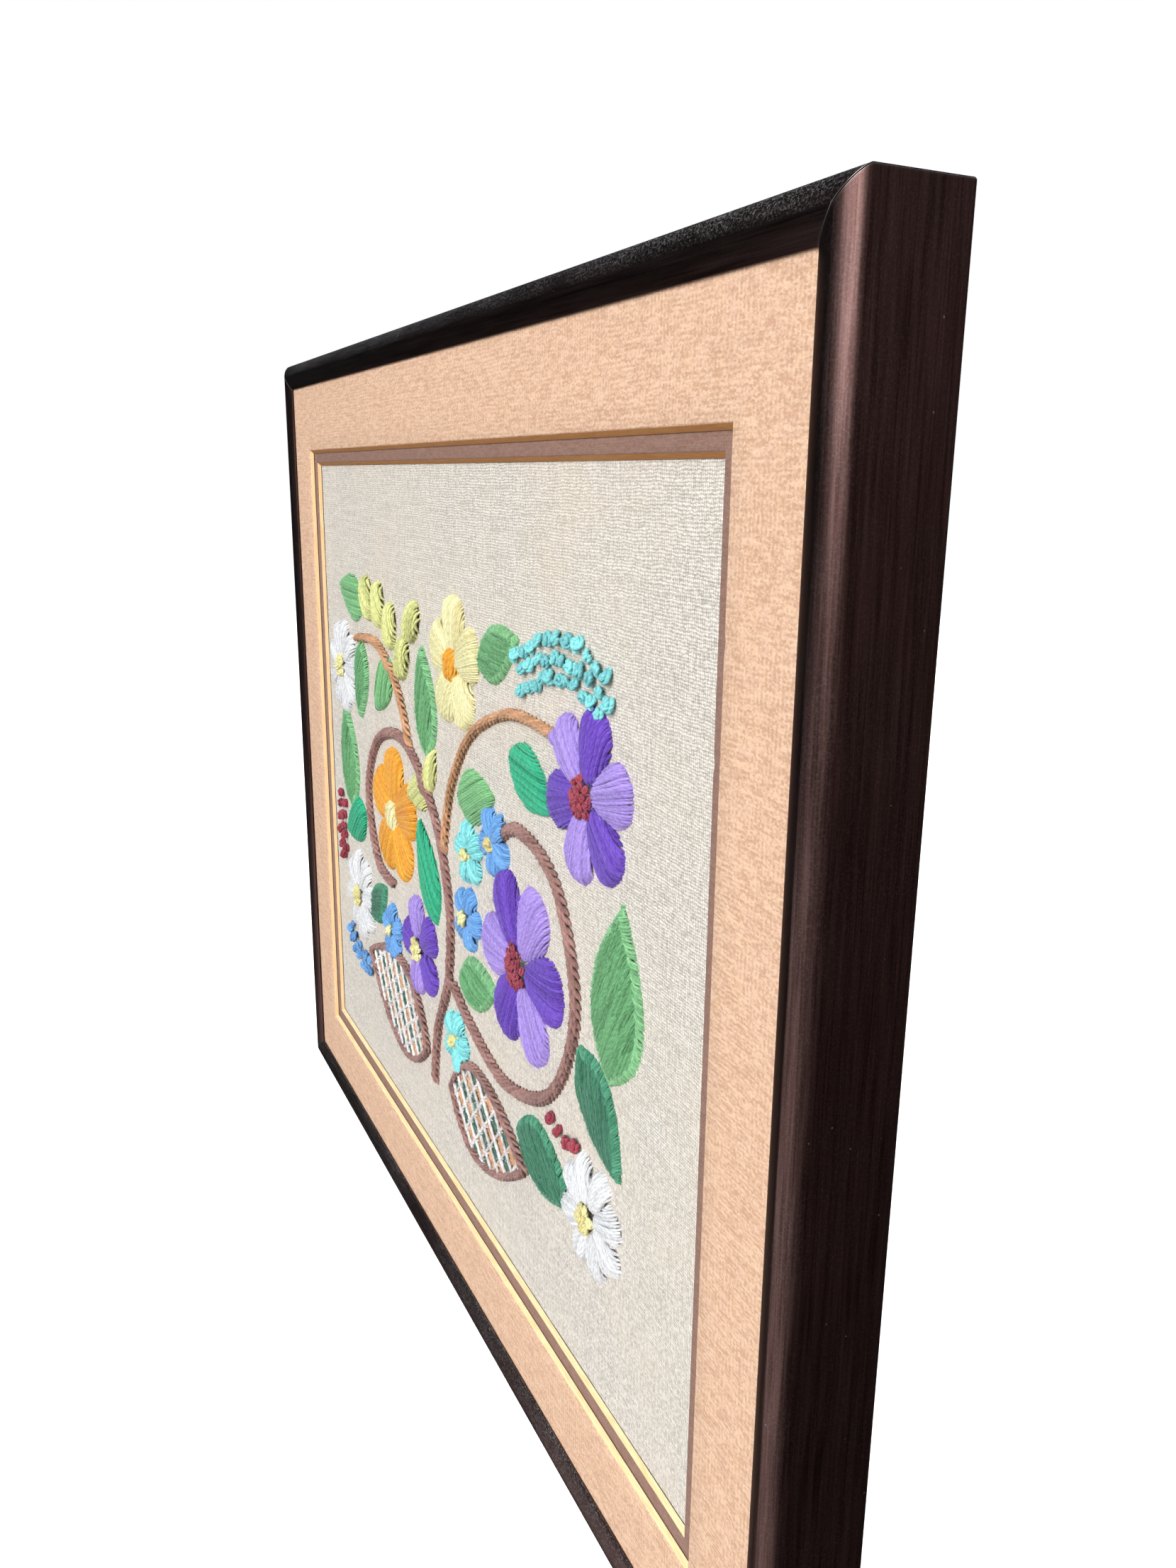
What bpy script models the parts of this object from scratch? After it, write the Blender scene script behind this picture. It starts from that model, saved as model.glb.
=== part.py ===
# Framed crewel embroidery panel: a stretched ground cloth with raised wool embroidery,
# two window mats and a backing board, in a mitred aluminium section frame.
# The panel stands upright on its bottom rail and faces -Y. Units are metres, +Z is up, and
# the origin is under the middle of the bottom rail.
import math

import bmesh
import bpy
from mathutils import Matrix, Vector
from mathutils.geometry import delaunay_2d_cdt

MM = 0.001

# Driving sizes of the frame and its mats.
WINDOW_WIDTH = 305.0 * MM
WINDOW_HEIGHT = 240.5 * MM
BORDER_TOP = 23.6 * MM
BORDER_BOTTOM = 21.5 * MM
BORDER_SIDE = 22.4 * MM
RAIL_FACE = 9.5 * MM
RAIL_DEPTH = 22.2 * MM
RAIL_WALL = 1.3 * MM
MAT_SINK = 2.4 * MM
MAT_THICK = 1.3 * MM
REVEAL = 3.3 * MM
CLOTH_THICK = 1.0 * MM
BOARD_THICK = 3.0 * MM
GAP = 0.3 * MM

# The nose of the frame section: a dome from its outer shoulder over a crest to a thin lip.
SHOULDER_DEPTH = 3.4 * MM
CREST_INWARD = 4.7 * MM
LIP_DEPTH = 1.7 * MM
SHOULDER_POWER = 1.6
LIP_POWER = 1.25
DOME_STEPS = 6
BACK_FLANGE = 7.5 * MM
BACK_FLANGE_THICK = 1.2 * MM
BACK_ROUND = 0.6 * MM
ROUND_STEPS = 3

# Sizes that follow from them.
FRAME_WIDTH = WINDOW_WIDTH + 2 * (BORDER_SIDE + RAIL_FACE)
FRAME_HEIGHT = WINDOW_HEIGHT + BORDER_TOP + BORDER_BOTTOM + 2 * RAIL_FACE
FRONT = -RAIL_DEPTH / 2
MAT_FACE = FRONT + MAT_SINK
INNER_MAT_FACE = MAT_FACE + MAT_THICK + GAP
CLOTH_FACE = INNER_MAT_FACE + MAT_THICK + GAP
BOARD_FACE = CLOTH_FACE + CLOTH_THICK + GAP
SHEET_WIDTH = FRAME_WIDTH - 2 * (RAIL_WALL + GAP)
SHEET_HEIGHT = FRAME_HEIGHT - 2 * (RAIL_WALL + GAP)
SHEET_MIDDLE = FRAME_HEIGHT / 2
WINDOW_MIDDLE = RAIL_FACE + BORDER_BOTTOM + WINDOW_HEIGHT / 2
MITRE_SETBACK = GAP / math.sqrt(2)

# How far each kind of stitching stands out from the cloth.
STEM_HEIGHT = 2.3 * MM
LEAF_HEIGHT = 2.2 * MM
PETAL_HEIGHT = 2.7 * MM
BUD_HEIGHT = 3.2 * MM
CENTRE_HEIGHT = 3.4 * MM
KNOT_HEIGHT = 3.0 * MM
KNOT_RADIUS = 2.3 * MM
LATTICE_HEIGHT = 1.0 * MM
LATTICE_EDGE_WIDTH = 3.2 * MM
LATTICE_PITCH = 8.5 * MM
CROSSING_HEIGHT = 1.8 * MM
CROSSING_RADIUS = 1.0 * MM

# How closely the raised face is divided.
STEM_STEP = 4.2 * MM
POINT_SPACING = 1.0 * MM
GROUND_STEP = 27.0 * MM
STEM_SMOOTHING = 10

# The embroidery's places are in millimetres from the middle of the mats' window.
# Stems: width, and the points that the smooth line passes.
STEMS = (
    (4.2, ((-22, -88), (-17, -66), (-5, -42), (-4, -16), (-18, 9), (-46, 25), (-77, 20),
           (-92, -3), (-82, -27), (-62, -31))),
    (4.2, ((-5, -42), (14, -51), (43, -57), (73, -45), (88, -16), (77, 13), (52, 21), (35, 13))),
    (3.4, ((-8, -2), (0, 20), (18, 40), (47, 51), (76, 51))),
    (3.4, ((-40, 24), (-52, 42), (-75, 54), (-104, 53))),
)

# Leaves: middle x and z, length, width, and the way the tip points in degrees.
LEAVES = (
    (-119, 5, 42, 21, 98),
    (-112, -20, 30, 16, 208),
    (-25, -14, 36, 18, 116),
    (-33, 11, 24, 12, 195),
    (109, -3, 46, 23, 84),
    (101, -36, 34, 17, -48),
    (69, -68, 38, 18, -8),
    (-70, 40, 28, 14, 228),
    (-98, 38, 30, 15, 262),
    (20, 22, 30, 15, 12),
    (60, 36, 30, 15, 340),
    (38, 66, 30, 14, 20),
    (-24, 42, 36, 18, 98),
    (-108, 68, 30, 15, 165),
    (20, -36, 32, 15, 14),
    (-20, 21, 18, 9, 60),
    (-84, -44, 26, 13, 40),
)

# Flowers: middle x and z, radius, petals, petal width, turn in degrees, centre's radius.
FLOWERS = (
    (-60, -4, 24, 5, 23, 18, 5.6),
    (53, -17, 27, 6, 21, 0, 6.6),
    (-121, 40, 18, 9, 10, 0, 4.8),
    (93, 40, 22, 6, 17, 15, 5.4),
    (4, 58, 20, 5, 19, 90, 5.2),
    (-108, -49, 18, 8, 11, 10, 4.8),
    (98, -66, 16, 8, 10, 20, 4.4),
    (-34, -44, 18, 5, 16, 36, 4.8),
    (13, -17, 10, 5, 9.5, 0, 2.6),
    (15, 4, 10, 5, 9.5, 30, 2.6),
    (35, 13, 10, 5, 9.5, 50, 2.6),
    (-66, -49, 10, 5, 9.5, 20, 2.6),
    (1, -62, 10, 5, 9.5, 0, 2.6),
)

# Padded buds: middle x and z, length, width, and the way the tip points in degrees.
BUDS = (
    (-35, 66, 16, 11, 45),
    (-46, 53, 16, 11, 60),
    (-59, 62, 16, 11, 80),
    (-72, 68, 16, 11, 95),
    (-86, 69, 16, 11, 110),
)

# Leaves filled with couched lattice: middle x and z, length, width, the way the tip points.
LATTICE_LEAVES = (
    (-62, -73, 68, 31, 170),
    (26, -79, 60, 27, 3),
)

# Sprays of knots: rows side by side, the spacing of the knots, and the line they follow.
SPRAYS = (
    (3, 5.0, ((54, 63), (72, 69), (90, 69), (104, 64))),
    (2, 5.0, ((-126, -68), (-112, -76), (-97, -75))),
    (2, 5.0, ((-131, -14), (-134, -28), (-131, -39))),
    (1, 5.2, ((74, -52), (84, -53), (92, -50))),
)


def material(name, colour, roughness, metallic=0.0):
    made = bpy.data.materials.new(name)
    made.use_nodes = True
    shader = made.node_tree.nodes["Principled BSDF"]
    shader.inputs["Base Color"].default_value = (*colour, 1.0)
    shader.inputs["Roughness"].default_value = roughness
    shader.inputs["Metallic"].default_value = metallic
    return made


def flat_outline(name, loops, depth):
    """A plate between closed outlines, as a new mesh centred on its own mid-plane."""
    curve = bpy.data.curves.new(name, "CURVE")
    curve.dimensions = "2D"
    curve.fill_mode = "BOTH"
    curve.extrude = depth / 2
    for loop in loops:
        spline = curve.splines.new("POLY")
        spline.points.add(len(loop) - 1)
        for point, (x, y) in zip(spline.points, loop):
            point.co = (x, y, 0.0, 1.0)
        spline.use_cyclic_u = True
    guide = bpy.data.objects.new(name + "_outline", curve)
    bpy.context.scene.collection.objects.link(guide)
    bpy.context.view_layer.update()
    graph = bpy.context.evaluated_depsgraph_get()
    mesh = bpy.data.meshes.new_from_object(guide.evaluated_get(graph))
    mesh.name = name
    bpy.data.objects.remove(guide)
    bpy.data.curves.remove(curve)
    shape = bmesh.new()
    shape.from_mesh(mesh)
    bmesh.ops.remove_doubles(shape, verts=shape.verts, dist=0.01 * MM)
    bmesh.ops.recalc_face_normals(shape, faces=shape.faces)
    shape.to_mesh(mesh)
    shape.free()
    return mesh


def add_node(name, mesh, finish, collection):
    node = bpy.data.objects.new(name, mesh)
    mesh.materials.clear()
    mesh.materials.append(finish)
    collection.objects.link(node)
    return node


# The frame section.
def dome_side(power, foot, top, steps):
    """Points from foot to top along a superellipse that is level at its top."""
    points = []
    for step in range(steps):
        angle = math.pi / 2 * step / steps
        along = math.cos(angle) ** (2 / power)
        rise = math.sin(angle) ** (2 / power)
        points.append((top[0] + (foot[0] - top[0]) * along, foot[1] + (top[1] - foot[1]) * rise))
    return points


def section_outline():
    """The section's outline as (inward from the outer face, depth behind the nose's front)."""
    crest = (CREST_INWARD, 0.0)
    shoulder = (0.0, SHOULDER_DEPTH)
    lip = (RAIL_FACE, LIP_DEPTH)
    lip_back = MAT_SINK - GAP
    outline = dome_side(SHOULDER_POWER, shoulder, crest, DOME_STEPS)
    outline.append(crest)
    outline += reversed(dome_side(LIP_POWER, lip, crest, DOME_STEPS))
    outline.append((RAIL_FACE, lip_back))
    outline.append((RAIL_WALL, lip_back))
    outline.append((RAIL_WALL, RAIL_DEPTH - BACK_FLANGE_THICK))
    outline.append((BACK_FLANGE, RAIL_DEPTH - BACK_FLANGE_THICK))
    outline.append((BACK_FLANGE, RAIL_DEPTH))
    for step in range(ROUND_STEPS + 1):
        angle = math.pi / 2 * step / ROUND_STEPS
        inward = BACK_ROUND * (1 - math.sin(angle))
        outline.append((inward, RAIL_DEPTH - BACK_ROUND * (1 - math.cos(angle))))
    return outline


def rail_mesh(name, length):
    """One length of section along X, its outer face at z = 0 and its mitred ends at 45 degrees."""
    mesh = flat_outline(name, [section_outline()], length)
    for vertex in mesh.vertices:
        inward, depth, along = vertex.co
        shortened = abs(along) - inward - MITRE_SETBACK
        vertex.co = (math.copysign(shortened, along), FRONT + depth, inward)
    shape = bmesh.new()
    shape.from_mesh(mesh)
    bmesh.ops.recalc_face_normals(shape, faces=shape.faces)
    shape.to_mesh(mesh)
    shape.free()
    mesh.shade_smooth()
    mesh.set_sharp_from_angle(angle=math.radians(32))
    return mesh


def build_frame(collection):
    metal = material("bronze_aluminium", (0.045, 0.028, 0.027), 0.38, 0.85)
    middle = FRAME_HEIGHT / 2
    rails = (
        ("rail_bottom", FRAME_WIDTH, 0, (0, 0, 0)),
        ("rail_left", FRAME_HEIGHT, 90, (-FRAME_WIDTH / 2, 0, middle)),
        ("rail_top", FRAME_WIDTH, 180, (0, 0, FRAME_HEIGHT)),
        ("rail_right", FRAME_HEIGHT, 270, (FRAME_WIDTH / 2, 0, middle)),
    )
    for name, length, turn, place in rails:
        rail = add_node(name, rail_mesh(name, length), metal, collection)
        rail.location = place
        rail.rotation_euler = (0, math.radians(turn), 0)


# The mats.
def rectangle(width, height, middle):
    half = width / 2
    low = middle - height / 2
    high = middle + height / 2
    return [(-half, low), (half, low), (half, high), (-half, high)]


def mat_mesh(name, window_width, window_height, face):
    """A board with a window whose edge is cut at 45 degrees, narrower at the back."""
    window = rectangle(window_width, window_height, WINDOW_MIDDLE)
    board = rectangle(SHEET_WIDTH, SHEET_HEIGHT, SHEET_MIDDLE)
    mesh = flat_outline(name, [board, window], MAT_THICK)
    for vertex in mesh.vertices:
        across, up, through = vertex.co
        at_window = abs(across) < window_width / 2 + GAP
        if at_window and through < 0:
            across -= math.copysign(MAT_THICK, across)
            up -= math.copysign(MAT_THICK, up - WINDOW_MIDDLE)
        vertex.co = (across, face + MAT_THICK / 2 - through, up)
    return mesh


def build_mats(collection):
    peach = material("peach_mat_board", (0.82, 0.55, 0.38), 0.9)
    mauve = material("mauve_mat_board", (0.36, 0.23, 0.18), 0.85)
    inset = 2 * (MAT_THICK + REVEAL)
    outer = mat_mesh("outer_mat", WINDOW_WIDTH, WINDOW_HEIGHT, MAT_FACE)
    inner = mat_mesh("inner_mat", WINDOW_WIDTH - inset, WINDOW_HEIGHT - inset, INNER_MAT_FACE)
    add_node("outer_mat", outer, peach, collection)
    add_node("inner_mat", inner, mauve, collection)


def build_board(collection):
    card = material("grey_card", (0.42, 0.38, 0.33), 0.9)
    bpy.ops.mesh.primitive_cube_add(size=1.0)
    board = bpy.context.object
    board.name = "backing_board"
    size = Matrix.Diagonal((SHEET_WIDTH, BOARD_THICK, SHEET_HEIGHT, 1.0))
    place = Matrix.Translation((0, BOARD_FACE + BOARD_THICK / 2, SHEET_MIDDLE))
    board.data.transform(place @ size)
    board.data.materials.append(card)
    for holder in list(board.users_collection):
        holder.objects.unlink(board)
    collection.objects.link(board)


# The embroidery's raised shapes, in metres from the middle of the window.
def leaf_girth(s):
    return math.sqrt(max(0.0, 1 - s * s)) * (1 - 0.35 * s) * math.sqrt(max(0.0, 1 - abs(s) ** 2.5)) * 1.05


def petal_girth(s):
    return math.sqrt(max(0.0, 1 - s * s)) * (0.8 + 0.3 * s)


def bud_girth(s):
    return math.sqrt(max(0.0, 1 - s * s))


class Pad:
    """A raised oval: its middle, half sizes, direction, how wide it is along its length, height."""

    levels = (-0.8, -0.3, 0.3, 0.8)
    sides = (-1.0, -0.55, 0.0, 0.55, 1.0)

    def __init__(self, middle, length, width, angle, girth, height):
        self.middle = middle
        self.half_length = length / 2
        self.half_width = width / 2
        self.along = Vector((math.cos(angle), math.sin(angle)))
        self.across = Vector((-math.sin(angle), math.cos(angle)))
        self.girth = girth
        self.height = height

    def place(self, s, t):
        side = t * self.half_width * self.girth(s)
        return self.middle + self.along * (s * self.half_length) + self.across * side

    def rise(self, point):
        offset = point - self.middle
        s = offset.dot(self.along) / self.half_length
        if abs(s) >= 1:
            return 0.0
        t = offset.dot(self.across) / (self.half_width * self.girth(s))
        if abs(t) >= 1:
            return 0.0
        return self.height * math.sqrt(1 - t * t) * math.sqrt(1 - s ** 4)

    def points(self):
        found = [self.place(s, t) for t in sorted(self.sides, key=abs) for s in self.levels]
        return found + [self.place(-1, 0), self.place(1, 0)]


class Cord:
    """A raised line of stitches: its points, width and height."""

    def __init__(self, line, width, height):
        self.line = line
        self.half_width = width / 2
        self.height = height

    def rise(self, point):
        nearest = min((point - other).length for other in self.line)
        if nearest >= self.half_width:
            return 0.0
        return self.height * math.sqrt(1 - (nearest / self.half_width) ** 2)

    def points(self):
        found = []
        last = len(self.line) - 1
        for i, point in enumerate(self.line):
            run = self.line[min(i + 1, last)] - self.line[max(i - 1, 0)]
            side = Vector((-run.y, run.x)).normalized() * self.half_width
            found += [point, point + side, point - side]
        return found


class Knot:
    """A round knot: a ring on the cloth and a small flat top."""

    ring_count = 6
    top_count = 3
    top_share = 0.42

    def __init__(self, middle, radius, height):
        self.middle = middle
        self.radius = radius
        self.height = height

    def rise(self, point):
        share = (point - self.middle).length / self.radius
        if share >= 1:
            return 0.0
        return self.height * math.sqrt(1 - share ** 2)

    def points(self):
        found = []
        for count, reach in ((self.top_count, self.top_share), (self.ring_count, 1.0)):
            for i in range(count):
                angle = 2 * math.pi * i / count
                around = Vector((math.cos(angle), math.sin(angle)))
                found.append(self.middle + around * (reach * self.radius))
        return found


def smooth_line(points, steps):
    """A Catmull-Rom line through points given in millimetres."""
    given = [Vector(point) * MM for point in points]
    ends = [given[0], *given, given[-1]]
    line = []
    for before, start, end, after in zip(ends, ends[1:], ends[2:], ends[3:]):
        for step in range(steps):
            t = step / steps
            line.append(0.5 * (2 * start + (end - before) * t
                               + (2 * before - 5 * start + 4 * end - after) * t ** 2
                               + (3 * start - 3 * end + after - before) * t ** 3))
    line.append(given[-1])
    return line


def even_line(line, step):
    """The same line with its points an even step apart."""
    lengths = [0.0]
    for a, b in zip(line, line[1:]):
        lengths.append(lengths[-1] + (b - a).length)
    count = max(1, round(lengths[-1] / step))
    even = []
    i = 0
    for k in range(count + 1):
        reach = lengths[-1] * k / count
        while i < len(line) - 2 and lengths[i + 1] < reach:
            i += 1
        share = (reach - lengths[i]) / (lengths[i + 1] - lengths[i])
        even.append(line[i].lerp(line[i + 1], share))
    return even


def spray_knots(rows, spacing, points):
    """Knots in rows side by side, every second row set half a step on."""
    line = even_line(smooth_line(points, STEM_SMOOTHING), spacing * MM / 2)
    knots = []
    for row in range(rows):
        for i in range(row % 2, len(line), 2):
            run = line[min(i + 1, len(line) - 1)] - line[max(i - 1, 0)]
            side = Vector((-run.y, run.x)).normalized()
            offset = (row - (rows - 1) / 2) * spacing * MM * 0.9
            knots.append(Knot(line[i] + side * offset, KNOT_RADIUS, KNOT_HEIGHT))
    return knots


def flower_shapes(x, z, radius, petals, petal_width, turn, centre_radius):
    middle = Vector((x, z)) * MM
    reach = 0.5 * (radius + 0.6 * centre_radius) * MM
    length = (radius - 0.6 * centre_radius) * MM
    shapes = [Knot(middle, centre_radius * MM, CENTRE_HEIGHT)]
    for i in range(petals):
        angle = math.radians(turn + 360 * i / petals)
        place = middle + Vector((math.cos(angle), math.sin(angle))) * reach
        shapes.append(Pad(place, length, petal_width * MM, angle, petal_girth, PETAL_HEIGHT))
    return shapes


def lattice_leaf_shapes(x, z, length, width, turn):
    """A low leaf inside a corded edge, with raised crossings of couched thread."""
    angle = math.radians(turn)
    inside = Pad(Vector((x, z)) * MM, length * MM, width * MM, angle, leaf_girth, LATTICE_HEIGHT)
    edge = []
    for i in range(41):
        around = 2 * math.pi * i / 40
        s = math.cos(around)
        edge.append(inside.place(s, math.copysign(1.0, math.sin(around))))
    shapes = [Cord(even_line(edge, STEM_STEP), LATTICE_EDGE_WIDTH, STEM_HEIGHT)]
    columns = int(length * MM / LATTICE_PITCH)
    rows = int(width * MM / LATTICE_PITCH)
    for column in range(-columns, columns + 1):
        for row in range(-rows, rows + 1):
            if (column + row) % 2:
                continue
            offset = inside.along * column + inside.across * row
            place = inside.middle + offset * (LATTICE_PITCH / 2)
            if inside.rise(place) > 0.55 * LATTICE_HEIGHT:
                shapes.append(Knot(place, CROSSING_RADIUS, CROSSING_HEIGHT))
    shapes.append(inside)
    return shapes


def embroidery_shapes():
    """Every raised shape, with those that must keep their points first."""
    shapes = []
    for rows, spacing, points in SPRAYS:
        shapes += spray_knots(rows, spacing, points)
    for flower in FLOWERS:
        shapes += flower_shapes(*flower)
    for leaf in LATTICE_LEAVES:
        shapes += lattice_leaf_shapes(*leaf)
    for x, z, length, width, turn in BUDS:
        place = Vector((x, z)) * MM
        angle = math.radians(turn)
        shapes.append(Pad(place, length * MM, width * MM, angle, bud_girth, BUD_HEIGHT))
    for x, z, length, width, turn in LEAVES:
        place = Vector((x, z)) * MM
        angle = math.radians(turn)
        shapes.append(Pad(place, length * MM, width * MM, angle, leaf_girth, LEAF_HEIGHT))
    for width, points in STEMS:
        line = even_line(smooth_line(points, STEM_SMOOTHING), STEM_STEP)
        shapes.append(Cord(line, width * MM, STEM_HEIGHT))
    return shapes


class SpacedPoints:
    """Points kept only where none lies within a set distance."""

    def __init__(self, spacing):
        self.spacing = spacing
        self.cells = {}
        self.kept = []

    def add(self, point):
        column = math.floor(point.x / self.spacing)
        row = math.floor(point.y / self.spacing)
        for i in (column - 1, column, column + 1):
            for j in (row - 1, row, row + 1):
                for other in self.cells.get((i, j), ()):
                    if (other - point).length < self.spacing:
                        return
        self.cells.setdefault((column, row), []).append(point)
        self.kept.append(point)


def cloth_points(shapes):
    """The points that the cloth's face is divided by: its corners, the shapes' own and a few more."""
    spaced = SpacedPoints(POINT_SPACING)
    middle = SHEET_MIDDLE - WINDOW_MIDDLE
    for x, z in rectangle(SHEET_WIDTH, SHEET_HEIGHT, middle):
        spaced.add(Vector((x, z)))
    for shape in shapes:
        for point in shape.points():
            spaced.add(point)
    across = int(SHEET_WIDTH / GROUND_STEP)
    up = int(SHEET_HEIGHT / GROUND_STEP)
    for i in range(1, across):
        for j in range(1, up):
            x = (i / across - 0.5) * SHEET_WIDTH
            z = (j / up - 0.5) * SHEET_HEIGHT + middle
            spaced.add(Vector((x, z)))
    return spaced.kept


def build_cloth(collection):
    """The ground cloth: a flat sheet whose front face rises where it is embroidered."""
    ivory = material("ivory_ground_cloth", (0.78, 0.72, 0.62), 0.95)
    shapes = embroidery_shapes()
    points = cloth_points(shapes)
    divided = delaunay_2d_cdt(points, [], [], 0, 1e-6)
    shape = bmesh.new()
    corners = []
    for place in divided[0]:
        rise = max(raised.rise(place) for raised in shapes)
        corner = shape.verts.new((place.x, CLOTH_FACE - rise, WINDOW_MIDDLE + place.y))
        corners.append(corner)
    for face in divided[2]:
        shape.faces.new([corners[i] for i in face])
    rim = [edge for edge in shape.edges if edge.is_boundary]
    sides = bmesh.ops.extrude_edge_only(shape, edges=rim)["geom"]
    back = [item for item in sides if isinstance(item, bmesh.types.BMVert)]
    for vertex in back:
        vertex.co.y = CLOTH_FACE + CLOTH_THICK
    bmesh.ops.contextual_create(shape, geom=back)
    bmesh.ops.recalc_face_normals(shape, faces=shape.faces)
    mesh = bpy.data.meshes.new("ground_cloth")
    shape.to_mesh(mesh)
    shape.free()
    mesh.shade_smooth()
    mesh.set_sharp_from_angle(angle=math.radians(50))
    add_node("ground_cloth", mesh, ivory, collection)


for item in list(bpy.data.objects):
    bpy.data.objects.remove(item)
panel = bpy.data.collections.new("framed_crewel_embroidery_panel")
bpy.context.scene.collection.children.link(panel)
build_frame(panel)
build_mats(panel)
build_cloth(panel)
build_board(panel)
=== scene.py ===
# Framed crewel embroidery panel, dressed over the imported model. Units are metres, and the panel faces -Y.
import math

import bmesh
import bpy
import numpy as np
from mathutils import Matrix, Vector


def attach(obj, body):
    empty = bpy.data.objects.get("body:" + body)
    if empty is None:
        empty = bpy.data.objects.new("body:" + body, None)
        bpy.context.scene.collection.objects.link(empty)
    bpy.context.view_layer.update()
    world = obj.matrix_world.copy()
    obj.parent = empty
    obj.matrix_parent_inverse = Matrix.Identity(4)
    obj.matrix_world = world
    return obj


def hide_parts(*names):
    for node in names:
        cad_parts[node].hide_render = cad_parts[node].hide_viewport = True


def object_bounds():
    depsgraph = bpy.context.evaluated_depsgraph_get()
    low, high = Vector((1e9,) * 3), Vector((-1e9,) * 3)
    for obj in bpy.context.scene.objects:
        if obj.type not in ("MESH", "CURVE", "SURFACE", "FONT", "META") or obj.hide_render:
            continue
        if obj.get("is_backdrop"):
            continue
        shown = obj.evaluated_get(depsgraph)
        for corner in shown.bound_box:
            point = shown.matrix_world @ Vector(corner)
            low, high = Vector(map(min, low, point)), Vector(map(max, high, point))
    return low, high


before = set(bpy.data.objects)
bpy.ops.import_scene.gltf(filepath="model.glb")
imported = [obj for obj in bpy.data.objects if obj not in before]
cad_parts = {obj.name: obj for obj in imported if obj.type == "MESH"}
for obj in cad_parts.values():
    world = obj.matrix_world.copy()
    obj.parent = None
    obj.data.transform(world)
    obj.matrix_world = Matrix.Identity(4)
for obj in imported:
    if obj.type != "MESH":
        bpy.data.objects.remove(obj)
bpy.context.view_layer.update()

# The camera stands close to the panel's right side and a little above its middle,
# so the far end of the panel looks much smaller than the near one.
view_right = Vector((0.43596560, 0.89990021, 0.01065818))
view_up = Vector((-0.22847252, 0.09921534, 0.96848160))
view_back = Vector((0.87047934, -0.42465976, 0.24885696))
camera_data = bpy.data.cameras.new("camera")
camera_data.sensor_width = 36.0
camera_data.lens = 27.323
camera_data.clip_start = 0.01
camera = bpy.data.objects.new("camera", camera_data)
turned = Matrix((view_right, view_up, view_back)).transposed().to_4x4()
camera.matrix_world = Matrix.Translation((0.32892, -0.12100, 0.26198)) @ turned
bpy.context.scene.collection.objects.link(camera)
bpy.context.scene.camera = camera
bpy.context.scene.view_settings.view_transform = "Standard"

# The backing board is stiff grey-brown card that holds the stretched cloth flat.
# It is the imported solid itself, with a finish of pressed fibres and faint stains.
MM = 0.001


def linear(code):
    """A colour written as six hex digits, as the shader's linear values."""
    shares = [int(code[i:i + 2], 16) / 255 for i in (0, 2, 4)]
    return tuple(c / 12.92 if c < 0.04045 else ((c + 0.055) / 1.055) ** 2.4 for c in shares)


def add(tree, kind, inputs=None, **settings):
    """A new node with its settings made, and its inputs set or linked by name or number."""
    node = tree.nodes.new(kind)
    for name, value in settings.items():
        setattr(node, name, value)
    for name, value in (inputs or {}).items():
        if isinstance(value, bpy.types.NodeSocket):
            tree.links.new(value, node.inputs[name])
        else:
            node.inputs[name].default_value = value
    return node


def calc(tree, operation, *values):
    """The output of a Math node."""
    return add(tree, "ShaderNodeMath", dict(enumerate(values)), operation=operation).outputs[0]


def finish(name, colour, roughness, metallic=0.0):
    """A material with a plain shader. Returns it with its tree and shader."""
    made = bpy.data.materials.new(name)
    made.use_nodes = True
    tree = made.node_tree
    shader = tree.nodes["Principled BSDF"]
    shader.inputs["Base Color"].default_value = (*colour, 1.0)
    shader.inputs["Roughness"].default_value = roughness
    shader.inputs["Metallic"].default_value = metallic
    return made, tree, shader


def blended(tree, share, low, high, blend="MIX"):
    """The colour output of a Mix node between two colours or sockets."""
    node = tree.nodes.new("ShaderNodeMix")
    node.data_type = "RGBA"
    node.blend_type = blend
    for key, value in ((0, share), (6, low), (7, high)):
        if isinstance(value, bpy.types.NodeSocket):
            tree.links.new(value, node.inputs[key])
        elif key == 0:
            node.inputs[key].default_value = value
        else:
            node.inputs[key].default_value = (*value[:3], 1.0)
    return node.outputs[2]


def object_place(tree, scale=(1, 1, 1)):
    """Object coordinates, stretched by a scale."""
    place = add(tree, "ShaderNodeTexCoord").outputs["Object"]
    return add(tree, "ShaderNodeMapping", {"Vector": place, "Scale": scale}).outputs[0]


def noise(tree, place, scale, detail=2.0, roughness=0.5, distortion=0.0):
    made = add(tree, "ShaderNodeTexNoise", {"Vector": place, "Scale": scale, "Detail": detail,
                                            "Roughness": roughness, "Distortion": distortion})
    return made.outputs["Fac"]


def stretch(tree, value, low, high, to_low=0.0, to_high=1.0):
    """A value taken from one range to another and held inside it."""
    return add(tree, "ShaderNodeMapRange", {0: value, 1: low, 2: high, 3: to_low, 4: to_high}).outputs[0]


def bump(tree, shader, height, distance, strength=1.0):
    made = add(tree, "ShaderNodeBump", {"Height": height, "Distance": distance, "Strength": strength})
    tree.links.new(made.outputs[0], shader.inputs["Normal"])


card, tree, shader = finish("backing_card", linear("9C8C76"), 0.92)
fibres = noise(tree, object_place(tree, (1.0, 1.0, 0.35)), 900, 4, 0.65)
stains = noise(tree, object_place(tree), 14, 3)
speckled = blended(tree, stretch(tree, fibres, 0.35, 0.7), linear("857561"), linear("AC9C84"))
stained = blended(tree, stretch(tree, stains, 0.5, 0.75, 0.0, 0.4), speckled, linear("7A6850"))
tree.links.new(stained, shader.inputs["Base Color"])
bump(tree, shader, fibres, 0.12 * MM, 0.8)
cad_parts["backing_board"].material_slots[0].material = card

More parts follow.
